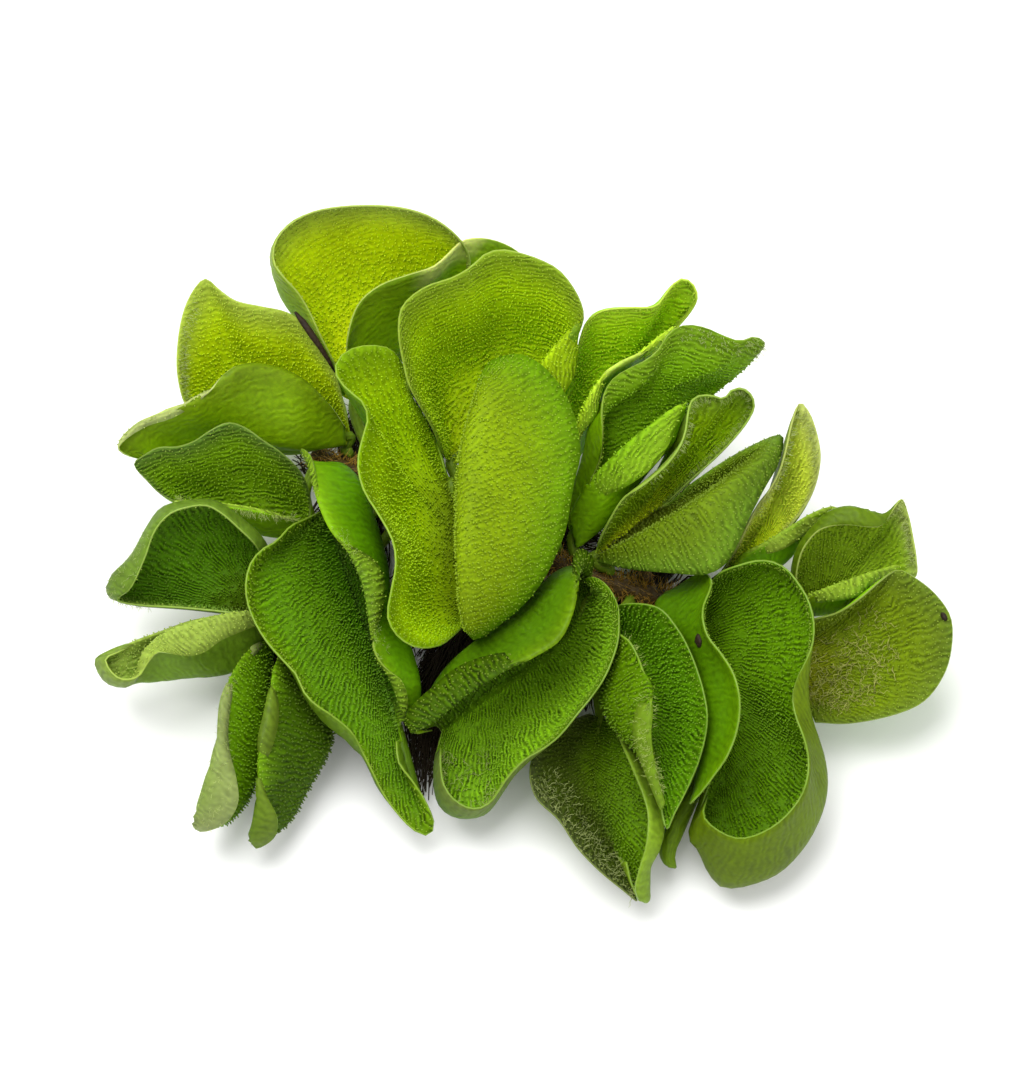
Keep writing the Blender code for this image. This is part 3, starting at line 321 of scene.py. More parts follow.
                       (348, 552, 25), (361, 578, 25), (367, 602, 24), (370, 628, 22), (375, 655, 19),
                       (390, 678, 17), (402, 712, 12)],
             "belly": [(329, 486, 8.5), (340, 467, 12.5), (356, 478, 15), (370, 508, 15), (385, 560, 14),
                       (392, 610, 13),
                       (410, 650, 13), (419, 690, 12), (410, 718, 10)]},
        ]},
    "leaf_center": {
        "fold": [(451, 482, 7.5), (458, 530, 8), (463, 595, 9), (463, 622, 10)],
        "stalk": [(448, 500, 7), (444, 518, 5.1)],
        "look": {"deep": (98, 120, 2), "mid": (156, 192, 2), "edge": (98, 132, 0),
                 "smoothEdge": (86, 122, 2), "ripple": 0.55},
        "lobes": [
            {"rim": [(445, 472, 10), (437, 444, 11.2), (423, 414, 16), (409, 390, 20.6), (402, 363, 24),
                     (388, 348, 26.4), (362, 346, 27), (343, 354, 27), (335, 370, 27), (346, 388, 27),
                     (362, 401, 27), (368, 418, 26), (362, 440, 26), (358, 464, 26), (364, 490, 26),
                     (380, 516, 26), (393, 541, 26), (396, 565, 26), (391, 593, 25), (388, 617, 24),
                     (398, 636, 22), (417, 647, 20), (440, 645, 17), (455, 634, 14), (462, 627, 12)],
             "sag": (-8, 0, -3)},
            {"look": {"deep": (106, 134, 6), "mid": (118, 144, 4), "edge": (90, 134, 4),
                      "smoothEdge": (100, 144, 6)},
             "rim": [(457, 472, 10.5), (468, 427, 18), (478, 388, 24), (487, 364, 27), (502, 356, 28),
                     (520, 354, 28), (536, 361, 28), (550, 373, 27), (563, 390, 26), (573, 412, 25),
                     (579, 436, 25), (580, 458, 24), (574, 482, 24), (570, 505, 23), (566, 528, 22),
                     (556, 554, 21), (543, 580, 20), (524, 604, 19), (503, 622, 18), (484, 636, 17),
                     (474, 640, 17), (469, 634, 15), (466, 627, 13)],
             "crest": [(458, 471, 11), (468, 427, 22), (477, 393, 28), (471, 416, 30), (465, 455, 31),
                       (463, 510, 31), (463, 560, 30), (465, 605, 26), (468, 630, 20), (465, 625, 14)],
             "sag": (6, 0, -2)},
        ]},
    "leaf_back_center": {
        "fold": [(451, 462, 6.5), (488, 420, 9.5), (530, 382, 14)],
        "stalk": [(464, 488, 5.4), (474, 530, 5)],
        "look": {"deep": (160, 184, 2), "mid": (160, 194, 6), "edge": (114, 138, 32),
                 "smoothEdge": (110, 140, 24), "ridge": "along", "ripple": 0.75},
        "lobes": [
            {"rim": [(444, 457, 9), (440, 446, 13), (433, 428, 17), (420, 405, 21), (409, 384, 24),
                     (403, 360, 26), (399, 335, 28.5), (401, 310, 30), (411, 297, 31), (428, 286, 32),
                     (452, 278, 33), (470, 268, 34), (486, 254, 34), (502, 250, 34), (522, 254, 34),
                     (542, 261, 33), (558, 270, 32), (571, 285, 31), (581, 304, 29), (583, 320, 27),
                     (572, 345, 22), (550, 370, 17), (536, 380, 15)],
             "sag": (0, 0, -4)},
            {"look": {"edge": (140, 172, 16)},
             "rim": [(459, 462, 8.5), (490, 443, 13.5), (525, 426, 17), (550, 409, 19), (565, 392, 21),
                     (574, 375, 22), (578, 355, 23), (577, 338, 25), (579, 326, 26), (583, 318, 26),
                     (572, 342, 21), (546, 372, 16)],
             "crest": [(457, 459, 9), (485, 429, 17.5), (518, 394, 23), (541, 366, 26), (552, 350, 27),
                       (565, 335, 27), (578, 323, 27), (574, 336, 23), (545, 370, 16)],
             "belly": [(456, 463, 7), (498, 438, 11.5), (536, 420, 14), (560, 400, 16), (565, 378, 18),
                       (548, 378, 15)]},
        ]},
    "leaf_back_small": {
        "fold": [(570, 472, 8), (592, 432, 10), (626, 388, 14)],
        "stalk": [(556, 504, 6.4), (552, 540, 5.4), (552, 563, 5)],
        "look": {"deep": (160, 200, 10), "mid": (168, 208, 18), "edge": (172, 200, 56),
                 "ridge": "along", "ripple": 0.8},
        "lobes": [
            {"rim": [(563, 462, 8.5), (561, 426, 9.5), (564, 396, 11.5), (573, 369, 14.5), (578, 349, 18),
                     (582, 334, 21.5), (588, 321, 24.5), (603, 311, 26.5), (630, 308, 27), (655, 307, 27),
                     (664, 297, 27), (673, 285, 27), (683, 279, 27), (693, 285, 26), (697, 297, 25),
                     (690, 312, 22), (672, 333, 19), (650, 358, 17), (634, 378, 15)],
             "crest": [(565, 463, 8), (565, 424, 9), (573, 380, 12.5), (589, 324, 22), (604, 312, 25),
                       (652, 309, 25), (672, 288, 25), (685, 281, 25), (694, 296, 23), (685, 313, 20),
                       (640, 366, 15)],
             "sag": (0, 0, -2.5)},
            # this lobe's edge tones are painted lighter to make up for the shade of other leaves
            {"look": {"edge": (192, 226, 64), "smoothEdge": (214, 236, 96)},
             "rim": [(573, 460, 11), (582, 434, 15), (596, 415, 18), (600, 398, 20), (605, 383, 21),
                     (614, 372, 22), (632, 362, 22), (650, 355, 22), (664, 343, 22), (674, 331, 21),
                     (664, 348, 18), (644, 374, 15)],
             "crest": [(572, 456, 12), (580, 420, 18), (590, 396, 21), (603, 376, 23), (618, 364, 24),
                       (640, 353, 24), (658, 338, 24), (675, 326, 22), (660, 346, 18), (640, 374, 15)],
             "belly": [(574, 466, 8.5), (577, 450, 11), (584, 428, 13), (600, 402, 15.5), (628, 384, 17),
                       (640, 379, 14)]},
        ]},
    "leaf_back_right": {
        "fold": [(573, 538, 7), (606, 494, 9), (650, 446, 13)],
        "stalk": [(575, 554, 6.2), (579, 572, 5)],
        # these tones are painted lighter to make up for the shade of other leaves
        "look": {"deep": (96, 138, 2), "mid": (112, 158, 8), "edge": (98, 128, 20),
                 "smooth": (114, 158, 4), "smoothEdge": (110, 152, 6), "ridge": "along", "ripple": 0.8},
        "fringe": {"lobe": 0, "s": (0.52, 0.74), "w": (0.92, 1.0), "count": 150, "length": 0.0010,
                   "tone": (184, 198, 124), "lie": 0.3},
        "lobes": [
            {"rim": [(572, 520, 9.5), (590, 482, 14), (601, 456, 17), (603, 432, 20), (602, 410, 22),
                     (605, 392, 23), (614, 378, 24), (630, 368, 25), (648, 359, 26), (660, 348, 26),
                     (666, 337, 27), (676, 328, 27), (690, 325, 27), (706, 328, 27), (722, 335, 26),
                     (740, 341, 25), (755, 337, 24), (765, 343, 22), (756, 356, 19), (735, 374, 17),
                     (711, 395, 15), (684, 418, 14), (660, 438, 14)],
             "belly": [(569, 528, 7.5), (576, 486, 11), (585, 454, 13.5), (591, 426, 15.5), (604, 402, 17.5),
                       (632, 400, 18), (676, 392, 18), (700, 390, 16), (690, 408, 14), (657, 441, 13.5)]},
            # the smooth tones are painted lighter to make up for the shade of other leaves
            {"look": {"edge": (132, 170, 32), "smooth": (116, 164, 2), "smoothEdge": (124, 168, 6)},
             "rim": [(570, 520, 9.5), (598, 499, 15), (625, 487, 18), (645, 474, 20), (658, 461, 21),
                     (668, 446, 22), (675, 430, 22), (681, 415, 22), (688, 403, 21), (676, 417, 17),
                     (657, 436, 14)],
             "crest": [(570, 516, 10), (590, 482, 18), (610, 460, 21), (632, 440, 23), (650, 426, 24),
                       (668, 412, 24), (687, 402, 22), (672, 418, 17), (655, 438, 14)],
             "belly": [(576, 547, 7.5), (600, 528, 10.2), (622, 502, 13.2), (648, 470, 16), (671, 443, 18.5),
                       (660, 444, 14)]},
        ]},
    "leaf_right_inner": {
        "fold": [(594, 558, 7.5), (630, 532, 9), (660, 509, 11)],
        "stalk": [(600, 566, 6.8), (607, 582, 5)],
        "look": {"deep": (206, 226, 24), "mid": (136, 172, 6), "edge": (110, 138, 46),
                 "smooth": (116, 150, 14), "smoothEdge": (144, 174, 62), "ripple": 1.0},
        "fringe": {"lobe": 0, "s": (0.25, 0.92), "w": (0.93, 1.0), "count": 220, "length": 0.0009,
                   "tone": (176, 192, 114), "lie": 0.3},
        "lobes": [
            {"rim": [(598, 545, 10.5), (610, 520, 15), (624, 498, 18), (640, 488, 20), (655, 476, 21),
                     (668, 464, 22), (680, 447, 23), (686, 430, 23), (688, 415, 23), (691, 402, 23),
                     (699, 396, 23), (712, 396, 23), (724, 399, 22), (731, 391, 22), (741, 389, 21),
                     (750, 395, 20), (754, 406, 19), (748, 420, 18), (735, 437, 17), (715, 458, 15),
                     (688, 482, 14), (668, 501, 12)],
             "crest": [(598, 547, 9.5), (611, 522, 13), (634, 494, 16), (664, 466, 19), (684, 440, 20),
                       (689, 412, 21), (702, 400, 21), (722, 402, 20), (740, 391, 19), (751, 403, 17),
                       (740, 428, 15), (700, 470, 13), (667, 502, 11)],
             "sag": (0, 0, -2)},
            {"look": {"deep": (70, 82, 2), "mid": (94, 118, 12), "edge": (92, 126, 28), "ripple": 0.65,
                      "smooth": (100, 140, 10)},
             "rim": [(598, 562, 8.5), (622, 568, 12), (646, 571, 15), (670, 573, 17), (700, 575, 18),
                     (716, 571, 19), (728, 561, 19), (737, 545, 20), (747, 522, 20), (757, 502, 20),
                     (766, 485, 20), (776, 468, 20), (782, 450, 20), (782, 435, 20), (762, 441, 20),
                     (728, 459, 18), (692, 483, 15), (670, 503, 12)],
             "crest": [(600, 556, 9.5), (634, 541, 16), (665, 525, 20), (700, 505, 23), (735, 480, 24),
                       (760, 459, 24), (772, 444, 22), (742, 454, 20), (696, 484, 15), (668, 505, 12)],
             "sag": (4, 4, -1)},
        ]},
    "leaf_right_upper": {
        "fold": [(716, 588, 7), (745, 566, 8), (775, 542, 11)],
        "stalk": [(713, 596, 6.2), (710, 607, 5)],
        "look": {"deep": (214, 236, 20), "mid": (186, 202, 56), "edge": (146, 154, 86),
                 "smooth": (90, 126, 10), "smoothEdge": (118, 138, 50), "ripple": 0.6},
        "fringe": {"lobe": 0, "s": (0.25, 0.75), "w": (0.92, 1.0), "count": 180, "length": 0.0010,
                   "tone": (184, 198, 120), "lie": 0.3},
        "lobes": [
            {"rim": [(717, 580, 9), (729, 562, 12), (742, 537, 15), (757, 507, 17), (771, 488, 19),
                     (781, 468, 20), (787, 447, 21), (792, 424, 22), (800, 403, 23), (809, 413, 23),
                     (816, 432, 22), (820, 455, 21), (817, 478, 19), (810, 497, 17), (798, 516, 15),
                     (784, 532, 13)],
             "sag": (0, 0, -2.5)},
            {"look": {"mid": (112, 142, 30), "edge": (144, 170, 54), "smooth": (92, 144, 0),
                      "smoothEdge": (126, 150, 18)},
             "rim": [(720, 590, 8), (733, 565, 11.5), (758, 556, 13), (783, 549, 13.5), (803, 536, 13.5),
                     (820, 522, 14), (838, 508, 14.5)],
             "crest": [(721, 586, 9), (742, 556, 13.5), (766, 542, 15), (790, 527, 15.5), (812, 514, 15.5),
                       (830, 507, 15.2)],
             "belly": [(722, 594, 7), (748, 582, 8.5), (772, 570, 9.5), (788, 558, 10.3), (796, 544, 11.5)]},
        ]},
    "leaf_right_outer": {
        "fold": [(788, 606, 6), (825, 600, 7), (862, 590, 10)],
        "stalk": [(780, 616, 5.4), (768, 625, 4.8), (755, 613, 5)],
        "look": {"deep": (98, 128, 4), "mid": (128, 160, 26), "edge": (142, 156, 76),
                 "smooth": (92, 122, 12), "smoothEdge": (84, 108, 10), "ripple": 0.8},
        "fringe": {"lobe": 0, "s": (0.50, 0.85), "w": (0.90, 1.0), "count": 180, "length": 0.0010,
                   "tone": (180, 194, 114), "lie": 0.3},
        "lobes": [
            {"rim": [(797, 590, 10), (797, 572, 13), (802, 552, 15.5), (811, 538, 17), (820, 530, 18),
                     (832, 526, 18.5), (850, 525, 19), (868, 527, 19), (881, 526, 18.5), (892, 512, 18),
                     (902, 499, 18), (908, 515, 17), (912, 535, 16), (916, 560, 14), (915, 578, 12),
                     (888, 586, 11)],
             "crest": [(794, 592, 9), (793, 570, 11.5), (799, 548, 14), (811, 531, 16), (829, 513, 18),
                       (848, 508, 19), (868, 512, 18.5), (884, 519, 17), (896, 508, 17), (904, 520, 16),
                       (910, 548, 14), (910, 576, 12), (884, 586, 10)],
             "sag": (0, 0, -2)},
            # the smooth tone is painted lighter to make up for the shade of other leaves
            {"look": {"mid": (126, 156, 36), "edge": (150, 180, 54), "smooth": (132, 172, 8),
                      "smoothEdge": (120, 156, 10)},
             "rim": [(792, 608, 7), (812, 603, 11), (835, 601, 13), (855, 597, 14), (872, 586, 14),
                     (888, 575, 14), (900, 567, 13), (884, 586, 11)],
             "crest": [(792, 604, 8), (812, 594, 13), (835, 585, 15), (858, 577, 16), (880, 570, 15.5),
                       (897, 566, 14), (882, 584, 11)],
             "belly": [(794, 614, 6), (818, 614, 8), (842, 610, 9), (862, 600, 10), (870, 592, 10)]},
        ]},
    "leaf_right_lower": {
        "fold": [(780, 640, 6), (790, 668, 6), (806, 700, 7)],
        "stalk": [(762, 646, 4.8), (736, 634, 4.8), (732, 611, 5)],
        "look": {"deep": (128, 136, 14), "mid": (104, 126, 10), "edge": (90, 110, 28), "ripple": 0.8},
        "fringe": {"lobe": 0, "s": (0.40, 0.93), "w": (0.08, 0.64), "count": 300, "length": 0.0022,
                   "tone": (170, 174, 88), "lie": 0.9},
        "speck": {"lobe": 0, "side": 1.0, "s": 0.505, "w": 0.97, "size": (0.0007, 0.0004, 0.0003)},
        "lobes": [
            {"rim": [(786, 634, 8), (796, 624, 11), (815, 619, 13), (835, 614, 14), (850, 606, 15),
                     (866, 594, 16), (882, 580, 16.5), (898, 570, 17), (915, 578, 17), (935, 594, 17),
                     (950, 616, 17), (952, 642, 16), (945, 672, 14), (925, 700, 12), (895, 714, 11),
                     (850, 723, 9), (815, 722, 8)],
             "sag": (0, 0, -1.5)},
            {"rim": [(774, 642, 7), (764, 655, 9), (758, 675, 10), (762, 700, 10), (776, 718, 9),
                     (796, 716, 8)],
             "sag": (0, 0, -0.5)},
        ]},
    "leaf_front_right": {
        "fold": [(674, 596, 7.5), (700, 650, 8), (706, 715, 8), (714, 772, 9)],
        "stalk": [(673, 597, 6.9), (669, 599, 5)],
        "look": {"deep": (84, 124, 2), "mid": (86, 128, 2), "edge": (78, 118, 0),
                 "smooth": (88, 110, 4), "smoothEdge": (86, 108, 0), "ripple": 1.2},
        "speck": {"lobe": 1, "side": -1.0, "s": 0.345, "w": 0.70, "size": (0.0010, 0.0010, 0.0005)},
        "lobes": [
            {"rim": [(700, 594, 11), (712, 581, 16), (722, 572, 19), (738, 566, 21), (757, 561, 22),
                     (772, 562, 23), (786, 569, 23), (797, 582, 23), (807, 598, 23), (813, 618, 23),
                     (813, 640, 22), (806, 660, 21), (797, 678, 20), (792, 698, 19), (796, 718, 19),
                     (803, 736, 19), (808, 757, 18), (807, 778, 18), (799, 799, 17), (780, 821, 17),
                     (758, 834, 16), (738, 838, 15), (718, 830, 14), (704, 816, 13), (708, 795, 11)],
             "crest": [(702, 596, 10), (718, 576, 16), (740, 568, 18), (772, 564, 20), (800, 592, 20),
                       (811, 625, 20), (806, 660, 19), (798, 690, 17), (806, 722, 15), (820, 752, 13),
                       (825, 783, 11), (820, 811, 9), (803, 844, 7), (777, 871, 6), (746, 884, 5),
                       (722, 885, 5), (709, 870, 5.5), (700, 850, 6.5), (690, 836, 8), (700, 812, 9)],
             "sag": (0, 0, -1.5)},
            {"look": {"smooth": (76, 118, 0), "smoothEdge": (90, 130, 0)},
             "rim": [(680, 584, 10), (695, 575, 13), (707, 574, 16), (712, 582, 18.5), (709, 593, 20),
                      (704, 605, 21),
                     (703, 618, 22), (708, 636, 22), (721, 653, 22), (733, 672, 22), (739, 692, 22),
                     (740, 712, 21), (736, 735, 20), (727, 757, 19), (714, 776, 17), (701, 793, 15),
                     (690, 804, 13), (698, 796, 11), (706, 784, 10)],
             "belly": [(668, 594, 8.5), (657, 604, 10), (665, 622, 11.5), (683, 642, 13), (692, 662, 13.5),
                       (701, 690, 14),
                       (703, 740, 13), (698, 785, 11), (706, 790, 9)]},
        ]},
    "leaf_front_middle": {
        "fold": [(613, 631, 7.5), (636, 690, 7), (655, 758, 11)],
        "stalk": [(622, 612, 6.6), (634, 590, 5)],
        "look": {"deep": (80, 124, 4), "mid": (88, 138, 6), "edge": (72, 112, 2),
                 "smooth": (90, 120, 10), "smoothEdge": (84, 120, 6), "ripple": 1.2},
        "fringe": {"lobe": 1, "s": (0.20, 0.85), "w": (0.82, 1.0), "count": 240, "length": 0.0010,
                   "tone": (174, 192, 100), "lie": 0.4},
        "lobes": [
            {"rim": [(608, 622, 10), (616, 607, 13), (627, 604, 15), (641, 604, 16.5), (656, 607, 17.5),
                     (666, 614, 18), (673, 623, 18), (682, 636, 18), (690, 652, 18), (697, 670, 18),
                     (703, 690, 18), (707, 712, 18), (706, 732, 17), (700, 757, 16), (692, 778, 15),
                     (683, 797, 15), (674, 814, 14.5), (667, 829, 14), (662, 810, 13.8), (659, 782, 12.8)],
             "sag": (0, 0, -2)},
            {"look": {"deep": (78, 112, 0), "mid": (82, 118, 0), "edge": (82, 120, 0),
                      "smoothEdge": (106, 136, 26), "hairSide": -1.0},
             "rim": [(607, 634, 10), (612, 629, 14), (618, 633, 17), (630, 642, 19), (638, 656, 19),
                     (643, 670, 20), (652, 686, 20), (643, 697, 20), (636, 710, 20), (633, 728, 19),
                     (635, 746, 18), (643, 768, 17.5), (652, 790, 17), (661, 810, 15.5), (659, 786, 13.8)],
             "crest": [(608, 633, 10.5), (615, 631, 15), (629, 645, 18), (640, 662, 19), (650, 684, 21),
                       (652, 705, 22), (651, 740, 20.5), (656, 772, 18.5), (664, 802, 16.5),
                        (660, 787, 13.8)],
             "belly": [(608, 640, 8.5), (612, 662, 11.5), (602, 694, 12.5), (612, 722, 12.5),
                       (637, 748, 13), (654, 776, 14), (657, 780, 13)]},
        ]},
    "leaf_front_tip": {
        "fold": [(600, 718, 4.5), (594, 780, 4.5), (606, 840, 4.5)],
        "stalk": [(600, 668, 3.4), (612, 612, 3), (616, 584, 5)],
        "look": {"deep": (68, 96, 2), "mid": (80, 116, 2), "edge": (88, 124, 6),
                 "smooth": (98, 126, 20), "smoothEdge": (118, 148, 34), "ripple": 0.9},
        "fringe": {"lobe": 1, "s": (0.30, 0.85), "w": (0.55, 1.0), "count": 320, "length": 0.0014,
                   "tone": (166, 178, 108), "lie": 0.6},
        "lobes": [
            {"rim": [(606, 718, 6), (614, 727, 8.5), (622, 745, 11), (632, 768, 12.5), (643, 795, 13.5),
                     (648, 816, 13.5), (646, 845, 13), (639, 870, 11.5), (635, 889, 9.5), (639, 900, 7),
                     (632, 884, 6.5), (627, 862, 6.8)],
             "crest": [(608, 720, 5), (620, 731, 7), (634, 752, 9), (646, 777, 10), (656, 801, 10.2),
                       (662, 824, 10.2), (659, 846, 10.5), (649, 866, 9), (648, 886, 7), (647, 900, 5.5),
                       (632, 884, 5), (621, 860, 5.2)],
             "sag": (0, 0, -0.3)},
            {"look": {"deep": (76, 104, 4), "mid": (58, 74, 12), "edge": (64, 74, 34)},
             "rim": [(590, 714, 6.5), (563, 724, 8.8), (540, 742, 10.2), (530, 770, 11), (536, 797, 11),
                     (559, 820, 10.5), (578, 848, 10), (600, 871, 9), (622, 889, 7), (637, 901, 5.5),
                      (618, 884, 5.8),
                     (596, 860, 6.2)],
             "sag": (0, 0, -0.6)},
        ]},
    "leaf_front_center": {
        "fold": [(592, 594, 8), (560, 650, 7), (500, 692, 7), (442, 732, 9)],
        "stalk": [(593, 590, 7.2), (592, 578, 5)],
        "look": {"deep": (74, 112, 2), "mid": (60, 90, 2), "edge": (60, 86, 0), "smooth": (76, 116, 2),
                 "smoothEdge": (104, 134, 2), "ripple": 1.4},
        "fringe": {"lobe": 1, "s": (0.70, 0.97), "w": (0.30, 0.95), "count": 200, "length": 0.0016,
                   "tone": (168, 184, 100), "lie": 0.7},
        "lobes": [
            {"rim": [(590, 586, 10), (592, 572, 13), (594, 560, 15), (587, 551, 16), (577, 549, 17),
                     (573, 560, 18), (573, 577, 19), (571, 596, 20), (566, 616, 20), (557, 632, 20),
                     (546, 644, 20), (530, 651, 20), (512, 652, 19), (490, 655, 19), (468, 662, 18),
                     (450, 672, 17), (434, 686, 16), (420, 698, 15), (409, 711, 14), (405, 724, 12),
                     (416, 730, 11), (432, 730, 10)],
             "crest": [(590, 588, 10), (586, 575, 14), (582, 566, 17), (579, 575, 20), (576, 592, 21),
                       (571, 614, 22), (558, 640, 22), (534, 656, 22), (508, 669, 21), (482, 684, 20),
                       (459, 700, 18), (444, 713, 16), (430, 723, 14.5), (412, 732, 12.5), (420, 732, 10)],
             "belly": [(590, 590, 9), (572, 572, 11), (550, 580, 13), (520, 612, 13), (480, 640, 12),
                       (448, 668, 11), (430, 700, 10), (436, 726, 9)]},
            {"look": {"deep": (118, 166, 18), "mid": (106, 150, 16), "edge": (78, 114, 0),
                      "smoothEdge": (92, 110, 40)},
             "rim": [(592, 584, 11), (584, 580, 14), (593, 577, 16), (603, 582, 17), (612, 593, 18),
                     (618, 607, 18), (619, 622, 18), (618, 640, 18), (612, 660, 18), (604, 678, 18),
                     (592, 696, 17), (578, 713, 17), (560, 735, 16), (545, 747, 15), (525, 759, 14),
                     (509, 775, 13), (500, 788, 12), (491, 801, 11), (479, 808, 11), (467, 807, 11),
                     (453, 798, 11), (444, 784, 11), (441, 766, 10.5), (441, 748, 10)],
             "crest": [(594, 588, 11), (608, 600, 16), (613, 622, 16), (610, 648, 16), (598, 680, 15),
                       (572, 712, 14), (545, 742, 13), (523, 759, 12), (508, 777, 10.5), (498, 794, 8.5),
                       (483, 812, 6.5), (461, 815, 6), (443, 807, 6), (436, 788, 7), (436, 754, 8)],
             "sag": (0, 0, -1)},
        ]},
}

stemShape = {"line": [(313, 452, 6.2), (350, 470, 6), (400, 500, 5.5), (455, 522, 5), (520, 550, 5),
                 (600, 580, 5), (690, 604, 5), (764, 614, 5)],
        "thick": [0.9, 1.3, 1.4, 1.3, 1.4, 1.3, 1.2, 0.8],
             "hairs": 3200, "hairLength": 0.0019, "hairRadius": 0.00006}
branchShape = {"line": [(646, 566, 5.2), (651, 540, 5.6), (665, 512, 6.6), (691, 485, 8.6)],
          "root": (640, 592, 5), "thick": [1.0, 1.0, 0.9, 0.6],
               "hairs": 300, "hairLength": 0.0010, "hairRadius": 0.00005}
youngLeafShape = {"line": [(706, 636, 3.4), (706, 720, 3.8), (699, 780, 5.6), (687, 806, 6.6),
                       (676, 828, 6.2), (668, 846, 5.6), (669, 860, 5), (676, 868, 4.6)],
              "root": (702, 606, 5), "thick": [0.6, 0.6, 0.7, 0.9, 1.0, 1.15, 1.4, 1.0],
                  "stalk": (116, 134, 24), "tone": (92, 120, 12), "roundEnd": 0.92}
rootPlans = {
    "roots_left": {
        "crown": (372, 484, 5.8),
        "strands": [[(356, 440), (348, 398)], [(330, 478), (292, 456)],
                    [(330, 530), (290, 620), (256, 780)], [(362, 560), (338, 690)],
                    [(404, 470), (430, 440), (412, 390)], [(344, 512), (326, 502)]]},
    "roots_middle": {
        "crown": (500, 542, 5),
        "strands": [[(470, 610), (432, 710), (418, 806)], [(486, 630), (456, 720), (440, 784)],
                    [(508, 640), (520, 710), (514, 764)], [(530, 620), (560, 700), (550, 762)],
                    [(512, 500), (530, 450)], [(464, 520), (440, 486)],
                    [(450, 560), (412, 590), (404, 660)], [(560, 520), (580, 462)],
                    [(556, 544), (590, 536), (612, 548)], [(470, 610), (436, 640), (418, 668)],
                    [(540, 620), (578, 670), (590, 716)]]},
    "roots_right": {
        "crown": (652, 595, 5),
        "strands": [[(616, 590), (584, 640)], [(640, 650), (634, 730)],
                    [(680, 650), (700, 720), (696, 800)], [(720, 610), (800, 690)],
                    [(656, 556), (672, 508), (656, 478)]]},
}
rootShape = {"threads": 80, "thread": 0.00017, "spread": 0.0016}


# Materials


def newGroup(name, inputs, outputs):
    group = bpy.data.node_groups.new(name, "ShaderNodeTree")
    for label, kind, value in inputs:
        socket = group.interface.new_socket(label, in_out="INPUT", socket_type=kind)
        if value is not None:
            socket.default_value = value
    for label, kind in outputs:
        group.interface.new_socket(label, in_out="OUTPUT", socket_type=kind)
    return group, group.nodes.new("NodeGroupInput"), group.nodes.new("NodeGroupOutput")


def mathNode(tree, how, a, b, clamp=False):
    node = tree.nodes.new("ShaderNodeMath")
    node.operation = how
    node.use_clamp = clamp
    for socket, value in zip(node.inputs, (a, b)):
        if isinstance(value, bpy.types.NodeSocket):
            tree.links.new(value, socket)
        elif value is not None:
            socket.default_value = value
    return node.outputs[0]


def mixColour(tree, how, part, a, b):
    node = tree.nodes.new("ShaderNodeMix")
    node.data_type = "RGBA"
    node.blend_type = how
    for socket, value in zip((node.inputs[0], node.inputs[6], node.inputs[7]), (part, a, b)):
        if isinstance(value, bpy.types.NodeSocket):
            tree.links.new(value, socket)
        else:
            socket.default_value = value
    return node.outputs[2]


def noiseNode(tree, where, scale, detail, roughness=0.5):
    node = tree.nodes.new("ShaderNodeTexNoise")
    node.inputs["Scale"].default_value = scale
    node.inputs["Detail"].default_value = detail
    node.inputs["Roughness"].default_value = roughness
    tree.links.new(where, node.inputs["Vector"])
    return node.outputs["Fac"]


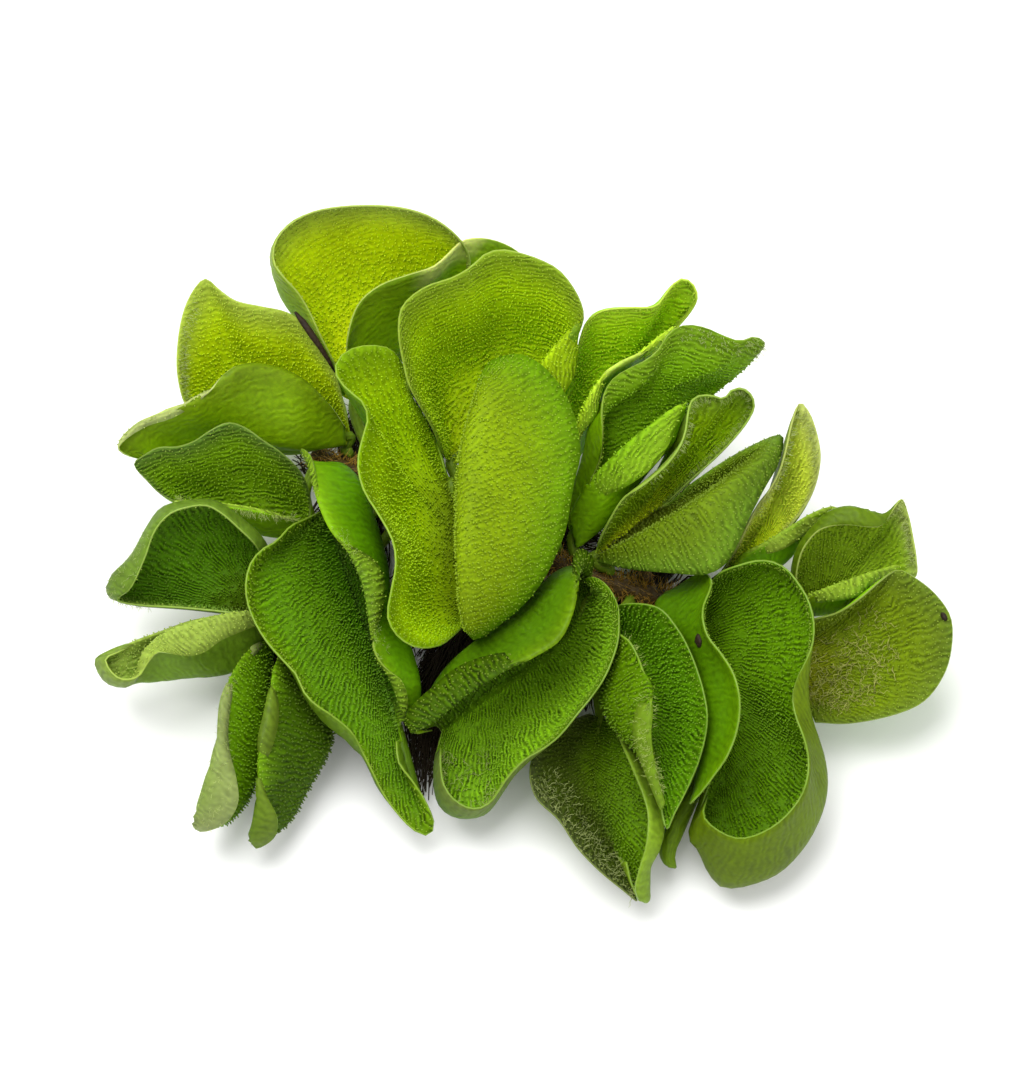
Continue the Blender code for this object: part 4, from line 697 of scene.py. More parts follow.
def makeBladeGrain():
    # blotches, small cells and ridges along the rows of hairs, over a tone; the ridges are a bump plus painted
    # shade stripes
    group, take, give = newGroup("bladeGrain", [
        ("Tone", "NodeSocketColor", None), ("Blotch", "NodeSocketFloat", 0.3),
        ("Cells", "NodeSocketFloat", 0.5), ("Ridges", "NodeSocketFloat", 0.3),
        ("Ridge Gap", "NodeSocketFloat", 0.9), ("Roughness", "NodeSocketFloat", 0.5)], [
        ("Color", "NodeSocketColor"), ("Roughness", "NodeSocketFloat"), ("Height", "NodeSocketFloat")])
    where = group.nodes.new("ShaderNodeTexCoord").outputs["Object"]
    lay = group.nodes.new("ShaderNodeUVMap")
    lay.uv_map = "lay"
    split = group.nodes.new("ShaderNodeSeparateXYZ")
    group.links.new(lay.outputs["UV"], split.inputs[0])
    broad = noiseNode(group, where, 130.0, 3.0)
    fine = noiseNode(group, where, 900.0, 2.0)
    bend = noiseNode(group, where, 420.0, 2.0)
    cell = group.nodes.new("ShaderNodeTexVoronoi")
    cell.inputs["Scale"].default_value = 1500.0
    group.links.new(where, cell.inputs["Vector"])
    turn = mathNode(group, "DIVIDE", split.outputs["X"], take.outputs["Ridge Gap"])
    sway = mathNode(group, "SUBTRACT", bend, 0.5)
    turn = mathNode(group, "ADD", turn, mathNode(group, "MULTIPLY", sway, 2.4))
    wave = mathNode(group, "SINE", mathNode(group, "MULTIPLY", turn, 2.0 * pi), None)
    broken = noiseNode(group, where, 640.0, 1.0)
    broken = mathNode(group, "MULTIPLY", mathNode(group, "SUBTRACT", broken, 0.28), 2.0, clamp=True)
    ridge = mathNode(group, "MULTIPLY", mathNode(group, "MULTIPLY", wave, 0.5), broken)
    swing = mathNode(group, "MULTIPLY", mathNode(group, "SUBTRACT", broad, 0.5), take.outputs["Blotch"])
    swing = mathNode(group, "ADD", swing, mathNode(group, "MULTIPLY", mathNode(
        group, "SUBTRACT", fine, 0.5), 0.3))
    swing = mathNode(group, "ADD", swing, mathNode(group, "MULTIPLY", mathNode(
        group, "SUBTRACT", 0.35, cell.outputs["Distance"]), take.outputs["Cells"]))
    # painted shade: the ridges lighten and darken the tone in stripes along the rows of hairs
    swing = mathNode(group, "ADD", swing, mathNode(group, "MULTIPLY", ridge, take.outputs["Ridges"]))
    lift = mathNode(group, "MAXIMUM", mathNode(group, "ADD", swing, 1.0), 0.1)
    grey = group.nodes.new("ShaderNodeCombineColor")
    for socket in grey.inputs:
        group.links.new(lift, socket)
    group.links.new(mixColour(group, "MULTIPLY", 1.0, take.outputs["Tone"], grey.outputs[0]),
                    give.inputs["Color"])
    rough = mathNode(group, "ADD", take.outputs["Roughness"], mathNode(
        group, "MULTIPLY", mathNode(group, "SUBTRACT", fine, 0.5), 0.25))
    group.links.new(rough, give.inputs["Roughness"])
    high = mathNode(group, "MULTIPLY", ridge, take.outputs["Ridges"])
    high = mathNode(group, "SUBTRACT", high, mathNode(
        group, "MULTIPLY", cell.outputs["Distance"], take.outputs["Cells"]))
    group.links.new(high, give.inputs["Height"])
    return group


bladeGrain = makeBladeGrain()


def makeFinish(name, finish, attribute=None, grain=bladeGrain):
    # one surface: a tone, from an attribute or fixed, under the shared grain
    material = bpy.data.materials.new(name)
    material.use_nodes = True
    tree = material.node_tree
    shader = tree.nodes["Principled BSDF"]
    worked = tree.nodes.new("ShaderNodeGroup")
    worked.node_tree = grain
    worked.inputs["Ridge Gap"].default_value = finish.get("ridgeGap", 0.9)
    for label in ("Blotch", "Cells", "Ridges", "Roughness"):
        worked.inputs[label].default_value = finish[label.lower()]
    if attribute:
        tone = tree.nodes.new("ShaderNodeAttribute")
        tone.attribute_name = attribute
        tree.links.new(tone.outputs["Color"], worked.inputs["Tone"])
    else:
        worked.inputs["Tone"].default_value = (*screenTone(finish["tone"]), 1.0)
    bump = tree.nodes.new("ShaderNodeBump")
    bump.inputs["Strength"].default_value = finish["bump"]
    bump.inputs["Distance"].default_value = 0.0003
    tree.links.new(worked.outputs["Height"], bump.inputs["Height"])
    tree.links.new(worked.outputs["Color"], shader.inputs["Base Color"])
    tree.links.new(worked.outputs["Roughness"], shader.inputs["Roughness"])
    # per-point strength of the ridges: a bump and painted shade along the rows of hairs
    if "ripples" in finish:
        ripples = tree.nodes.new("ShaderNodeAttribute")
        ripples.attribute_name = "ripple"
        tree.links.new(mathNode(tree, "MULTIPLY", ripples.outputs["Fac"], finish["ridges"]),
                       worked.inputs["Ridges"])
    tree.links.new(bump.outputs["Normal"], shader.inputs["Normal"])
    shader.inputs["Specular IOR Level"].default_value = finish["shine"]
    shader.inputs["Subsurface Weight"].default_value = finish.get("glow", 0.0)
    shader.inputs["Subsurface Radius"].default_value = (0.6, 1.0, 0.1)
    shader.inputs["Subsurface Scale"].default_value = 0.0012
    shader.inputs["Sheen Weight"].default_value = finish.get("sheen", 0.0)
    return material


hairySide = makeFinish("hairySide", {
    "blotch": 0.6, "cells": 0.25, "ridges": 1.15, "ridgeGap": 0.84, "roughness": 0.6, "bump": 0.8,
    "shine": 0.08, "glow": 0.15, "ripples": True}, "hairyTone")
smoothSide = makeFinish("smoothSide", {
    "blotch": 0.7, "cells": 0.25, "ridges": 0.4, "ridgeGap": 1.2, "roughness": 0.5, "bump": 0.5,
    "shine": 0.12, "glow": 0.2}, "smoothTone")
leafRim = makeFinish("leafRim", {
    "blotch": 0.2, "cells": 0.1, "ridges": 0.0, "roughness": 0.4, "bump": 0.1, "shine": 0.25,
    "glow": 0.2}, "rimTone")
leafHair = makeFinish("leafHair", {
    "blotch": 0.3, "cells": 0.0, "ridges": 0.0, "roughness": 0.4, "bump": 0.0, "shine": 0.25,
    "glow": 0.0}, "hairTone")
stemBark = makeFinish("stemBark", {
    "tone": (84, 64, 20), "blotch": 1.3, "cells": 0.8, "ridges": 0.0, "roughness": 0.6, "bump": 0.8,
    "shine": 0.35})
stemHair = makeFinish("stemHair", {
    "tone": (180, 140, 50), "blotch": 0.8, "cells": 0.0, "ridges": 0.0, "roughness": 0.45, "bump": 0.0,
    "shine": 0.5})
rootFibre = makeFinish("rootFibre", {
    "tone": (38, 29, 11), "blotch": 1.2, "cells": 0.0, "ridges": 0.0, "roughness": 0.65, "bump": 0.0,
    "shine": 0.2})
brownSpeck = makeFinish("brownSpeck", {
    "tone": (42, 28, 10), "blotch": 1.2, "cells": 0.5, "ridges": 0.0, "roughness": 0.7, "bump": 0.8,
    "shine": 0.3})
print("materials made")


# Building tools


def camelName(node):
    words = node.split("_")
    return words[0] + "".join(w.capitalize() for w in words[1:])


def addObject(name, bm, materials):
    mesh = bpy.data.meshes.new(name)
    bm.to_mesh(mesh)
    bm.free()
    for material in materials:
        mesh.materials.append(material)
    made = bpy.data.objects.new(name, mesh)
    bpy.context.collection.objects.link(made)
    return made


def shadeSmooth(piece):
    piece.data.shade_smooth()


def paintPoints(piece, label, tones):
    layer = piece.data.attributes.new(label, "FLOAT_COLOR", "POINT")
    full = np.ones((len(piece.data.vertices), 4), dtype=np.float32)
    full[:, :3] = tones
    layer.data.foreach_set("color", full.ravel())


def addTube(target, centres, radii, sides, material=0):
    # a round tube along the centres, closed at both ends
    bm = bmesh.new()
    side = Vector((0.0, 0.0, 1.0)).cross(centres[1] - centres[0])
    if side.length < 1e-9:
        side = Vector((1.0, 0.0, 0.0))
    made = bmesh.ops.create_circle(bm, cap_ends=True, segments=sides, radius=1.0)
    cap = made["verts"][0].link_faces[0]
    turns = {v: k for k, v in enumerate(cap.verts)}
    last = len(centres) - 1
    for n, centre in enumerate(centres):
        ahead = (centres[min(n + 1, last)] - centres[max(n - 1, 0)]).normalized()
        side = (side - ahead * side.dot(ahead)).normalized()
        up = ahead.cross(side)
        if n > 0:
            old = {v.co.copy().freeze(): k for v, k in turns.items()}
            region = [cap] + list(cap.edges) + list(cap.verts)
            grown = bmesh.ops.extrude_face_region(bm, geom=region)["geom"]
            cap = next(g for g in grown if isinstance(g, bmesh.types.BMFace))
            turns = {v: old[v.co.copy().freeze()] for v in cap.verts}
        for v, k in turns.items():
            turn = 2.0 * pi * k / sides
            v.co = centre + (side * cos(turn) + up * sin(turn)) * radii[n]
    for f in bm.faces:
        f.material_index = material
    bmesh.ops.recalc_face_normals(bm, faces=bm.faces)
    mesh = bpy.data.meshes.new("tube")
    bm.to_mesh(mesh)
    bm.free()
    target.from_mesh(mesh)
    bpy.data.meshes.remove(mesh)


# Leaves

bladeMesh = {
    "along": 56,            # steps along the fold
    "across": 22,           # steps from the fold to each rim
    "wall": 0.0005,
    "offset": -0.3,
    "rimShare": 0.5,        # thickness left at the rim
    "stalkRadii": (0.0004, 0.0009, 0.0008),
    "stalkSides": 9,
}


def lobeSection(fold, lobe, share):
    m = lineAt(fold, share)
    r = lineAt(lobe["rim"], share)
    sag = Vector(lobe.get("sag", (0.0, 0.0, 0.0))) * sin(pi * share) ** 0.6
    if "crest" in lobe:
        c = lineAt(lobe["crest"], share)
    else:
        c = m.lerp(r, 0.80) + sag * 0.55
    if "belly" in lobe:
        b = lineAt(lobe["belly"], share)
    else:
        b = m.lerp(c, 0.5) + sag
    return [planPoint(*p) for p in (m, b, c, r)]


def bladeGrid(plan):
    # rows of points from rim to rim, over the fold
    fold = readLine(plan["fold"])
    lobes = [{key: (readLine(value) if key in ("rim", "crest", "belly") else value)
              for key, value in lobe.items()} for lobe in plan["lobes"]]
    across = bladeMesh["across"]
    rows = []
    for i in range(bladeMesh["along"] + 1):
        share = i / bladeMesh["along"]
        halves = []
        for lobe in lobes:
            section = lobeSection(fold, lobe, share)
            knots = lengthShares(section)
            halves.append([curvePoint(section, knots, j / across) for j in range(1, across + 1)])
        rows.append(halves[0][::-1] + [planPoint(*lineAt(fold, share))] + halves[1])
    return np.array(rows)


def bladeFacing(grid):
    # 1 or -1, so that the hairy side faces into the fold's opening
    mid = bladeMesh["across"]
    ahead = grid[2:, mid] - grid[:-2, mid]
    side = grid[1:-1, mid + 1] - grid[1:-1, mid - 1]
    lean = np.cross(side, ahead).sum(axis=0)
    opening = ((grid[1:-1, 0] + grid[1:-1, -1]) / 2.0 - grid[1:-1, mid]).sum(axis=0)
    return 1.0 if lean.dot(opening) > 0.0 else -1.0


def gridNormals(grid, facing):
    ahead = np.gradient(grid, axis=0)
    side = np.gradient(grid, axis=1)
    normal = np.cross(side, ahead) * facing
    return normal / np.maximum(np.linalg.norm(normal, axis=2, keepdims=True), 1e-12)


def lobeTones(look, grid):
    # tones of both faces and of the rim over one lobe, from the fold to the rim, with painted light and shade in
    # the bands
    steps = grid.shape[1]
    w = np.linspace(0.0, 1.0, steps)[None, :, None]
    s = np.linspace(0.0, 1.0, grid.shape[0])[:, None, None]
    deep, mid, edge = (screenTone(look[k]) for k in ("deep", "mid", "edge"))
    # by the fold: painted shade, and a painted highlight on leaves whose deep tone is lighter than mid
    hairy = blendTone(deep, mid, ramp(look["deepTo"][0], look["deepTo"][1], w))
    # toward the rim: the leaf's paler margin with painted sheen, painted shade where a leaf's edge tone is the
    # darker
    hairy = blendTone(hairy, edge, ramp(look["edgeFrom"], 1.02, w) * 0.9)
    # toward the leaf's tip: painted sheen
    hairy = blendTone(hairy, edge, ramp(look["tipFrom"], 1.0, s) * 0.6)
    smooth = blendTone(screenTone(look["smooth"]), screenTone(look["smoothEdge"]), ramp(0.7, 1.0, w))
    smooth = blendTone(smooth, screenTone(look["smoothEdge"]), ramp(0.8, 1.0, s) * 0.5)
    smooth = smooth + hairy * 0.0
    if "patch" in look:
        early, late, low, high = look["patch"]
        part = ramp(early - 0.03, early + 0.02, s) * ramp(late + 0.03, late - 0.02, s)
        part = part * ramp(low - 0.05, low + 0.05, w) * ramp(high + 0.06, high, w)
        hairy = blendTone(hairy, screenTone(look["patchTone"]), part)
        smooth = blendTone(smooth, screenTone(look["patchTone"]), part)
    tint = look["hairTint"] + (look["rimHairTint"] - look["hairTint"]) * ramp(0.75, 1.0, w)
    hair = blendTone(hairy * 1.05, screenTone(look["hair"]), tint)
    return hairy, smooth, hair


def lobeLook(plan, k):
    look = dict(leafLook)
    look.update(plan.get("look", {}))
    look.update(plan["lobes"][k].get("look", {}))
    return look


def bladeLay(plan, grid):
    # lay of each point: ridges of hairs, and millimetres along a ridge
    across = bladeMesh["across"]
    lay = np.zeros(grid.shape[:2] + (2,))
    for k, half in enumerate((grid[:, across::-1], grid[:, across:])):
        crest = half[:, int(across * 0.7)]
        run = np.r_[0.0, np.cumsum(np.linalg.norm(np.diff(crest, axis=0), axis=1))]
        reach = np.linalg.norm(np.diff(half, axis=1), axis=2).cumsum(axis=1) * 1000.0
        reach = np.concatenate([np.zeros((len(half), 1)), reach], axis=1)
        along = np.repeat(run[:, None] * 1000.0, across + 1, axis=1)
        part = np.stack([along, reach] if lobeLook(plan, k)["ridge"] == "across" else [reach, along], axis=2)
        if k == 0:
            lay[:, across::-1] = part
        else:
            lay[:, across:] = part
    return lay


def makeBlade(node, plan, grid, facing, tones):
    along, across = bladeMesh["along"], 2 * bladeMesh["across"]
    bm = bmesh.new()
    bmesh.ops.create_grid(bm, x_segments=across, y_segments=along, size=1.0)
    lay = bladeLay(plan, grid)
    places = {}
    for v in bm.verts:
        places[v.index] = (round((v.co.y + 1.0) / 2.0 * along), round((v.co.x + 1.0) / 2.0 * across))
    sheetLay = bm.loops.layers.uv.new("lay")
    for f in bm.faces:
        for loop in f.loops:
            loop[sheetLay].uv = lay[places[loop.vert.index]]
    for v in bm.verts:
        v.co = grid[places[v.index]]
    bm.normal_update()
    lean = 0.0
    normals = gridNormals(grid, facing)
    for v in bm.verts:
        lean += v.normal.dot(Vector(normals[places[v.index]]))
    if lean < 0.0:
        bmesh.ops.reverse_faces(bm, faces=bm.faces)
    blade = addObject(camelName(node), bm, (hairySide, smoothSide, leafRim))
    order = [places[i] for i in range(len(places))]
    hairy, smooth, rim = tones
    paintPoints(blade, "hairyTone", np.array([hairy[p] for p in order]))
    paintPoints(blade, "smoothTone", np.array([smooth[p] for p in order]))
    paintPoints(blade, "rimTone", np.array([rim[p] for p in order]))
    # each lobe's ridge strength: a bump with painted shade along the rows of hairs
    ripples = blade.data.attributes.new("ripple", "FLOAT", "POINT")
    sizes = [float(lobeLook(plan, int(p[1] > across / 2))["ripple"]) for p in order]
    ripples.data.foreach_set("value", sizes)
    full = blade.vertex_groups.new(name="full")
    for i, (row, column) in enumerate(order):
        edge = min(column, across - column) / across * 2.0
        ends = min(row, along - row) / along * 2.0
        part = min(ramp(0.0, 0.10, edge), ramp(0.0, 0.06, ends))
        full.add([i], float(bladeMesh["rimShare"] + (1.0 - bladeMesh["rimShare"]) * part), "REPLACE")
    wall = blade.modifiers.new("wall", "SOLIDIFY")
    wall.thickness = bladeMesh["wall"]
    wall.offset = bladeMesh["offset"]
    wall.vertex_group = "full"
    wall.material_offset = 1
    wall.material_offset_rim = 2
    sheet = len(blade.data.polygons)
    lobes = [int(places[f.vertices[0]][1] + places[f.vertices[2]][1] > across) for f in blade.data.polygons]
    finished = bpy.data.meshes.new_from_object(blade.evaluated_get(bpy.context.evaluated_depsgraph_get()))
    blade.modifiers.clear()
    blade.data = finished
    for f in finished.polygons[:2 * sheet]:
        if lobeLook(plan, lobes[f.index % sheet])["hairSide"] < 0.0:
            f.material_index = 1 - f.material_index
    return blade


def nearestStem(goal):
    best = None
    for i in range(241):
        share = i / 240.0
        point = planPoint(*lineAt(stemLine, share))
        if best is None or (point - goal).length < best[0]:
            best = ((point - goal).length, point, share)
    before = planPoint(*lineAt(stemLine, max(best[2] - 0.01, 0.0)))
    after = planPoint(*lineAt(stemLine, min(best[2] + 0.01, 1.0)))
    knots, thick = stemLine[1], stemShape["thick"]
    k = max(i for i in range(len(knots) - 1) if knots[i] <= best[2])
    part = (best[2] - knots[k]) / (knots[k + 1] - knots[k])
    radius = (thick[k] * (1.0 - part) + thick[k + 1] * part) / 1000.0
    return best[1], (after - before).normalized(), radius


def joinPoints(target, toward):
    # the end of a stalk, just short of the stem's side
    middle, ahead, radius = nearestStem(planPoint(*target))
    out = toward - middle
    out = (out - ahead * out.dot(ahead)).normalized()
    end = middle + out * (radius + 0.0004)
    return [end + out * 0.0006, end]


def addStalk(blade, plan, look):
    fold = readLine(plan["fold"])
    route = [planPoint(*lineAt(fold, plan.get("grip", 0.13))), planPoint(*plan["fold"][0])]
    route += [planPoint(*p) for p in plan["stalk"][:-1]]
    route += joinPoints(plan["stalk"][-1], route[-1])
    inner, base, outer = bladeMesh["stalkRadii"]
    count = 5 * len(route)
    centres = evenPath(route, count)
    radii = []
    for i in range(count + 1):
        share = i / count
        radii.append(float(inner + (base - inner) * ramp(0.0, 0.25, share)
                           + (outer - base) * ramp(0.3, 0.6, share)))
    bm = bmesh.new()
    addTube(bm, centres, radii, bladeMesh["stalkSides"], material=1)
    stalk = addObject(blade.name + "Stalk", bm, (hairySide, smoothSide, leafRim))
    tone = screenTone(look["stalk"])
    for label in ("hairyTone", "smoothTone", "rimTone"):
        paintPoints(stalk, label, np.tile(tone, (len(stalk.data.vertices), 1)))
    stalk.data.uv_layers.new(name="lay")
    return joinPieces([blade, stalk])


def joinPieces(parts):
    with bpy.context.temp_override(active_object=parts[0], selected_editable_objects=parts):
        bpy.ops.object.join()
    return parts[0]


# Leaf hairs

leafHairShape = {
    "lean": 0.3,           # toward the rim
    "sway": 0.35,
    "jitter": 0.42,
    "rimHeight": 0.45,     # of the full height, at the rim
}


def makeKnobHair(sides):
    # a short stiff hair with a swollen tip, one unit high and one wide
    bm = bmesh.new()
    bmesh.ops.create_cone(bm, cap_ends=True, segments=sides, radius1=0.7, radius2=1.0, depth=0.7)
    bmesh.ops.translate(bm, verts=bm.verts, vec=(0.0, 0.0, 0.35))
    bm.faces.ensure_lookup_table()
    base = min(bm.faces, key=lambda f: f.calc_center_median().z)
    bmesh.ops.delete(bm, geom=[base], context="FACES_ONLY")
    cap = max(bm.faces, key=lambda f: f.calc_center_median().z)
    grown = bmesh.ops.extrude_face_region(bm, geom=[cap] + list(cap.edges) + list(cap.verts))["geom"]
    top = next(g for g in grown if isinstance(g, bmesh.types.BMFace))
    if cap.is_valid:
        bmesh.ops.delete(bm, geom=[cap], context="FACES_ONLY")
    for v in top.verts:
        v.co = Vector((v.co.x * 0.5, v.co.y * 0.5, 1.0))
    mesh = bpy.data.meshes.new("knobHair")
    bm.to_mesh(mesh)
    bm.free()
    return mesh


def makeThinHair(sides, bend):
    # a long thin hair that bends over, one unit high
    bm = bmesh.new()
    centres = [Vector((bend * t * t, 0.0, t)) for t in (0.0, 0.4, 0.75, 1.0)]
    addTube(bm, centres, (1.0, 0.8, 0.6, 0.3), sides)
    mesh = bpy.data.meshes.new("thinHair")
    bm.to_mesh(mesh)
    bm.free()
    return mesh


def stamp(bm, template, where, along, aside, height, radius):
    # a copy of the template, stood at a point along a direction
    along = along.normalized()
    aside = aside - along * aside.dot(along)
    if aside.length < 1e-9:
        aside = along.orthogonal()
    aside.normalize()
    third = along.cross(aside)
    turn = Matrix((aside * radius, third * radius, along * height)).transposed().to_4x4()
    turn.translation = where
    template.transform(turn)
    bm.from_mesh(template)
    template.transform(turn.inverted())


def hairObject(name, bm, template, tones, material, tipLift=1.15):
    piece = addObject(name, bm, (material,))
    count = len(template.vertices)
    rise = np.zeros(count * 3)
    template.vertices.foreach_get("co", rise)
    lift = 0.85 + (tipLift - 0.85) * np.clip(rise.reshape(-1, 3)[:, 2], 0.0, 1.0)
    tones = np.repeat(np.array(tones), count, axis=0) * np.tile(lift, len(tones))[:, None]
    paintPoints(piece, "hairTone", tones)
    shadeSmooth(piece)
    return piece


def sampleGrid(table, i, j):
    # values between the points of a grid
    a = np.clip(i.astype(int), 0, table.shape[0] - 2)
    b = np.clip(j.astype(int), 0, table.shape[1] - 2)
    u, v = (i - a)[:, None], (j - b)[:, None]
    return ((table[a, b] * (1 - v) + table[a, b + 1] * v) * (1 - u)
            + (table[a + 1, b] * (1 - v) + table[a + 1, b + 1] * v) * u)


def hairPlaces(half, look, chance):
    # grid places of the hairs of one lobe, in rows from the fold to the rim
    along, across = half.shape[0] - 1, half.shape[1] - 1
    crest = half[:, int(across * 0.7)]
    run = np.r_[0.0, np.cumsum(np.linalg.norm(np.diff(crest, axis=0), axis=1))]
    rows = max(int(run[-1] / look["rowGap"]), 2)
    reach = np.linalg.norm(np.diff(half, axis=1), axis=2).cumsum(axis=1)
    reach = np.concatenate([np.zeros((along + 1, 1)), reach], axis=1)
    spread = np.linalg.norm(np.gradient(half, axis=0), axis=2)
    found = []
    for n in range(rows + 1):
        i = float(np.interp((0.008 + 0.984 * n / rows) * run[-1], run, np.arange(along + 1)))
        low = min(int(i), along - 1)
        here = reach[low] * (1 - i + low) + reach[low + 1] * (i - low)
        d = np.arange(look["step"] * (0.35 + 0.5 * (n % 2)), here[-1] - 0.00020, look["step"])
        j = np.interp(d, here, np.arange(across + 1))
        local = np.interp(j, np.arange(across + 1), spread[low]) / max(spread[low, int(across * 0.7)], 1e-9)
        skip = 2 ** np.ceil(np.log2(np.maximum(0.62 / np.maximum(local, 1e-3), 1.0)))
        keep = (n % np.minimum(skip, 16)) == 0
        for jj, dd, kk in zip(j[keep], d[keep], skip[keep]):
            shake = leafHairShape["jitter"] * kk * look["rowGap"] / run[-1] * along
            found.append((min(max(i + chance.uniform(-1, 1) * shake, 0.0), along - 1e-3),
                          min(max(jj + chance.uniform(-1, 1) * leafHairShape["jitter"] * look["step"]
                                  / here[-1] * across, 0.0), across - 1e-3), dd / here[-1]))
    return np.array(found)


def makeHairs(node, plan, grid, facing, hairTones, seed):
    chance = random.Random(seed)
    normals = gridNormals(grid, facing)
    across = bladeMesh["across"]
    bm = bmesh.new()
    tones = []
    for k in range(2):
        pick = (lambda t: t[:, across::-1]) if k == 0 else (lambda t: t[:, across:])
        half, up, tint = pick(grid), pick(normals), pick(hairTones)
        look = lobeLook(plan, k)
        found = hairPlaces(half, look, chance)
        i, j, w = found[:, 0], found[:, 1], found[:, 2]
        points = sampleGrid(half, i, j)
        ups = sampleGrid(up, i, j) * look["hairSide"]
        outer = sampleGrid(half, i, np.minimum(j + 0.6, across))
        outs = outer - sampleGrid(half, i, np.maximum(j - 0.6, 0.0))
        tint = sampleGrid(tint, i, j)
        ends = np.minimum(i, len(half) - 1 - i) / (len(half) - 1)
        tall = look["height"] * (1.0 - (1.0 - leafHairShape["rimHeight"]) * ramp(0.55, 0.98, w))
        tall *= 1.0 + look["foldHeight"] * (1.0 - ramp(0.0, 0.35, w))
        tall *= 0.55 + 0.45 * ramp(0.0, 0.08, ends)
        wide = look["hairRadius"] * (1.0 - 0.15 * ramp(0.7, 1.0, w))
        deep = bladeMesh["wall"] * (0.30 if look["hairSide"] > 0 else 0.60)
        for n in range(len(points)):
            normal = Vector(ups[n]).normalized()
            outward = Vector(outs[n]).normalized()
            axis = normal + outward * leafHairShape["lean"] + Vector(
                (chance.uniform(-1, 1), chance.uniform(-1, 1), chance.uniform(-1, 1))) * leafHairShape["sway"]
            stamp(bm, knobHair, Vector(points[n]) + normal * deep, axis, outward,
                  float(tall[n]) * chance.uniform(0.6, 1.25), float(wide[n]) * chance.uniform(0.75, 1.15))
            tones.append(tint[n] * chance.uniform(0.85, 1.15))
    return hairObject(camelName(node) + "Hairs", bm, knobHair, tones, leafHair)


def makeCurlyHair(sides):
    # a long wavy hair, one unit high
    bm = bmesh.new()
    centres = [Vector(p) for p in ((0, 0, 0), (0.16, 0.05, 0.25), (0.02, 0.12, 0.5), (0.2, 0.02, 0.75),
                                   (0.1, 0.16, 1.0))]
    addTube(bm, centres, (0.036, 0.034, 0.03, 0.022, 0.01), sides)
    mesh = bpy.data.meshes.new("curlyHair")
    bm.to_mesh(mesh)
    bm.free()
    return mesh


def lobeParts(table, k):
    across = bladeMesh["across"]
    return table[:, across::-1] if k == 0 else table[:, across:]


def makeFringe(name, fringe, grid, facing, seed):
    # long pale hairs over one patch of a lobe
    chance = random.Random(seed)
    half = lobeParts(grid, fringe["lobe"])
    ups = lobeParts(gridNormals(grid, facing), fringe["lobe"]) * fringe.get("side", 1.0)
    along, across = half.shape[0] - 1, half.shape[1] - 1
    bm = bmesh.new()
    tones = []
    for n in range(fringe["count"]):
        i = np.array([chance.uniform(*fringe["s"]) * along])
        j = np.array([chance.uniform(*fringe["w"]) * across])
        where = Vector(sampleGrid(half, i, j)[0])
        normal = Vector(sampleGrid(ups, i, j)[0]).normalized()
        outward = Vector((sampleGrid(half, i, np.minimum(j + 0.5, across))
                          - sampleGrid(half, i, np.maximum(j - 0.5, 0.0)))[0]).normalized()
        sway = Vector((chance.uniform(-1, 1), chance.uniform(-1, 1), chance.uniform(-1, 1)))
        flat = outward * 0.5 + (sway - normal * sway.dot(normal))
        axis = normal * (1.0 - fringe["lie"] * 0.85) + flat * fringe["lie"]
        length = fringe["length"] * chance.uniform(0.5, 1.1)
        if where.z + axis.normalized().z * length < 0.0004:
            continue
        stamp(bm, curlyHair, where + normal * bladeMesh["wall"] * 0.45, axis, sway, length, length)
        tones.append(screenTone(fringe["tone"]) * chance.uniform(0.7, 1.1))
    return hairObject(name, bm, curlyHair, tones, leafHair)


def makeSpeck(name, speck, grid, facing):
    # a small dark crumb on a leaf
    chance = random.Random(name)
    half = lobeParts(grid, speck["lobe"])
    ups = lobeParts(gridNormals(grid, facing), speck["lobe"]) * speck["side"]
    i = np.array([speck["s"] * (half.shape[0] - 1)])
    j = np.array([speck["w"] * (half.shape[1] - 1)])
    normal = Vector(sampleGrid(ups, i, j)[0]).normalized()
    where = Vector(sampleGrid(half, i, j)[0]) + normal * bladeMesh["wall"] * 0.5
    bm = bmesh.new()
    bmesh.ops.create_icosphere(bm, subdivisions=2, radius=1.0)
    turn = normal.to_track_quat("Z", "Y")
    for v in bm.verts:
        v.co *= chance.uniform(0.75, 1.15)
        v.co = where + turn @ Vector([a * b for a, b in zip(v.co, speck["size"])])
    piece = addObject(name, bm, (brownSpeck,))
    shadeSmooth(piece)
    return piece


def makeDarkStrip(name, scar):
    # a dark strip along a leaf's rim
    bm = bmesh.new()
    addTube(bm, [planPoint(*p) for p in scar["line"]], scar["radii"], 8)
    piece = addObject(name, bm, (brownSpeck,))
    shadeSmooth(piece)
    return piece


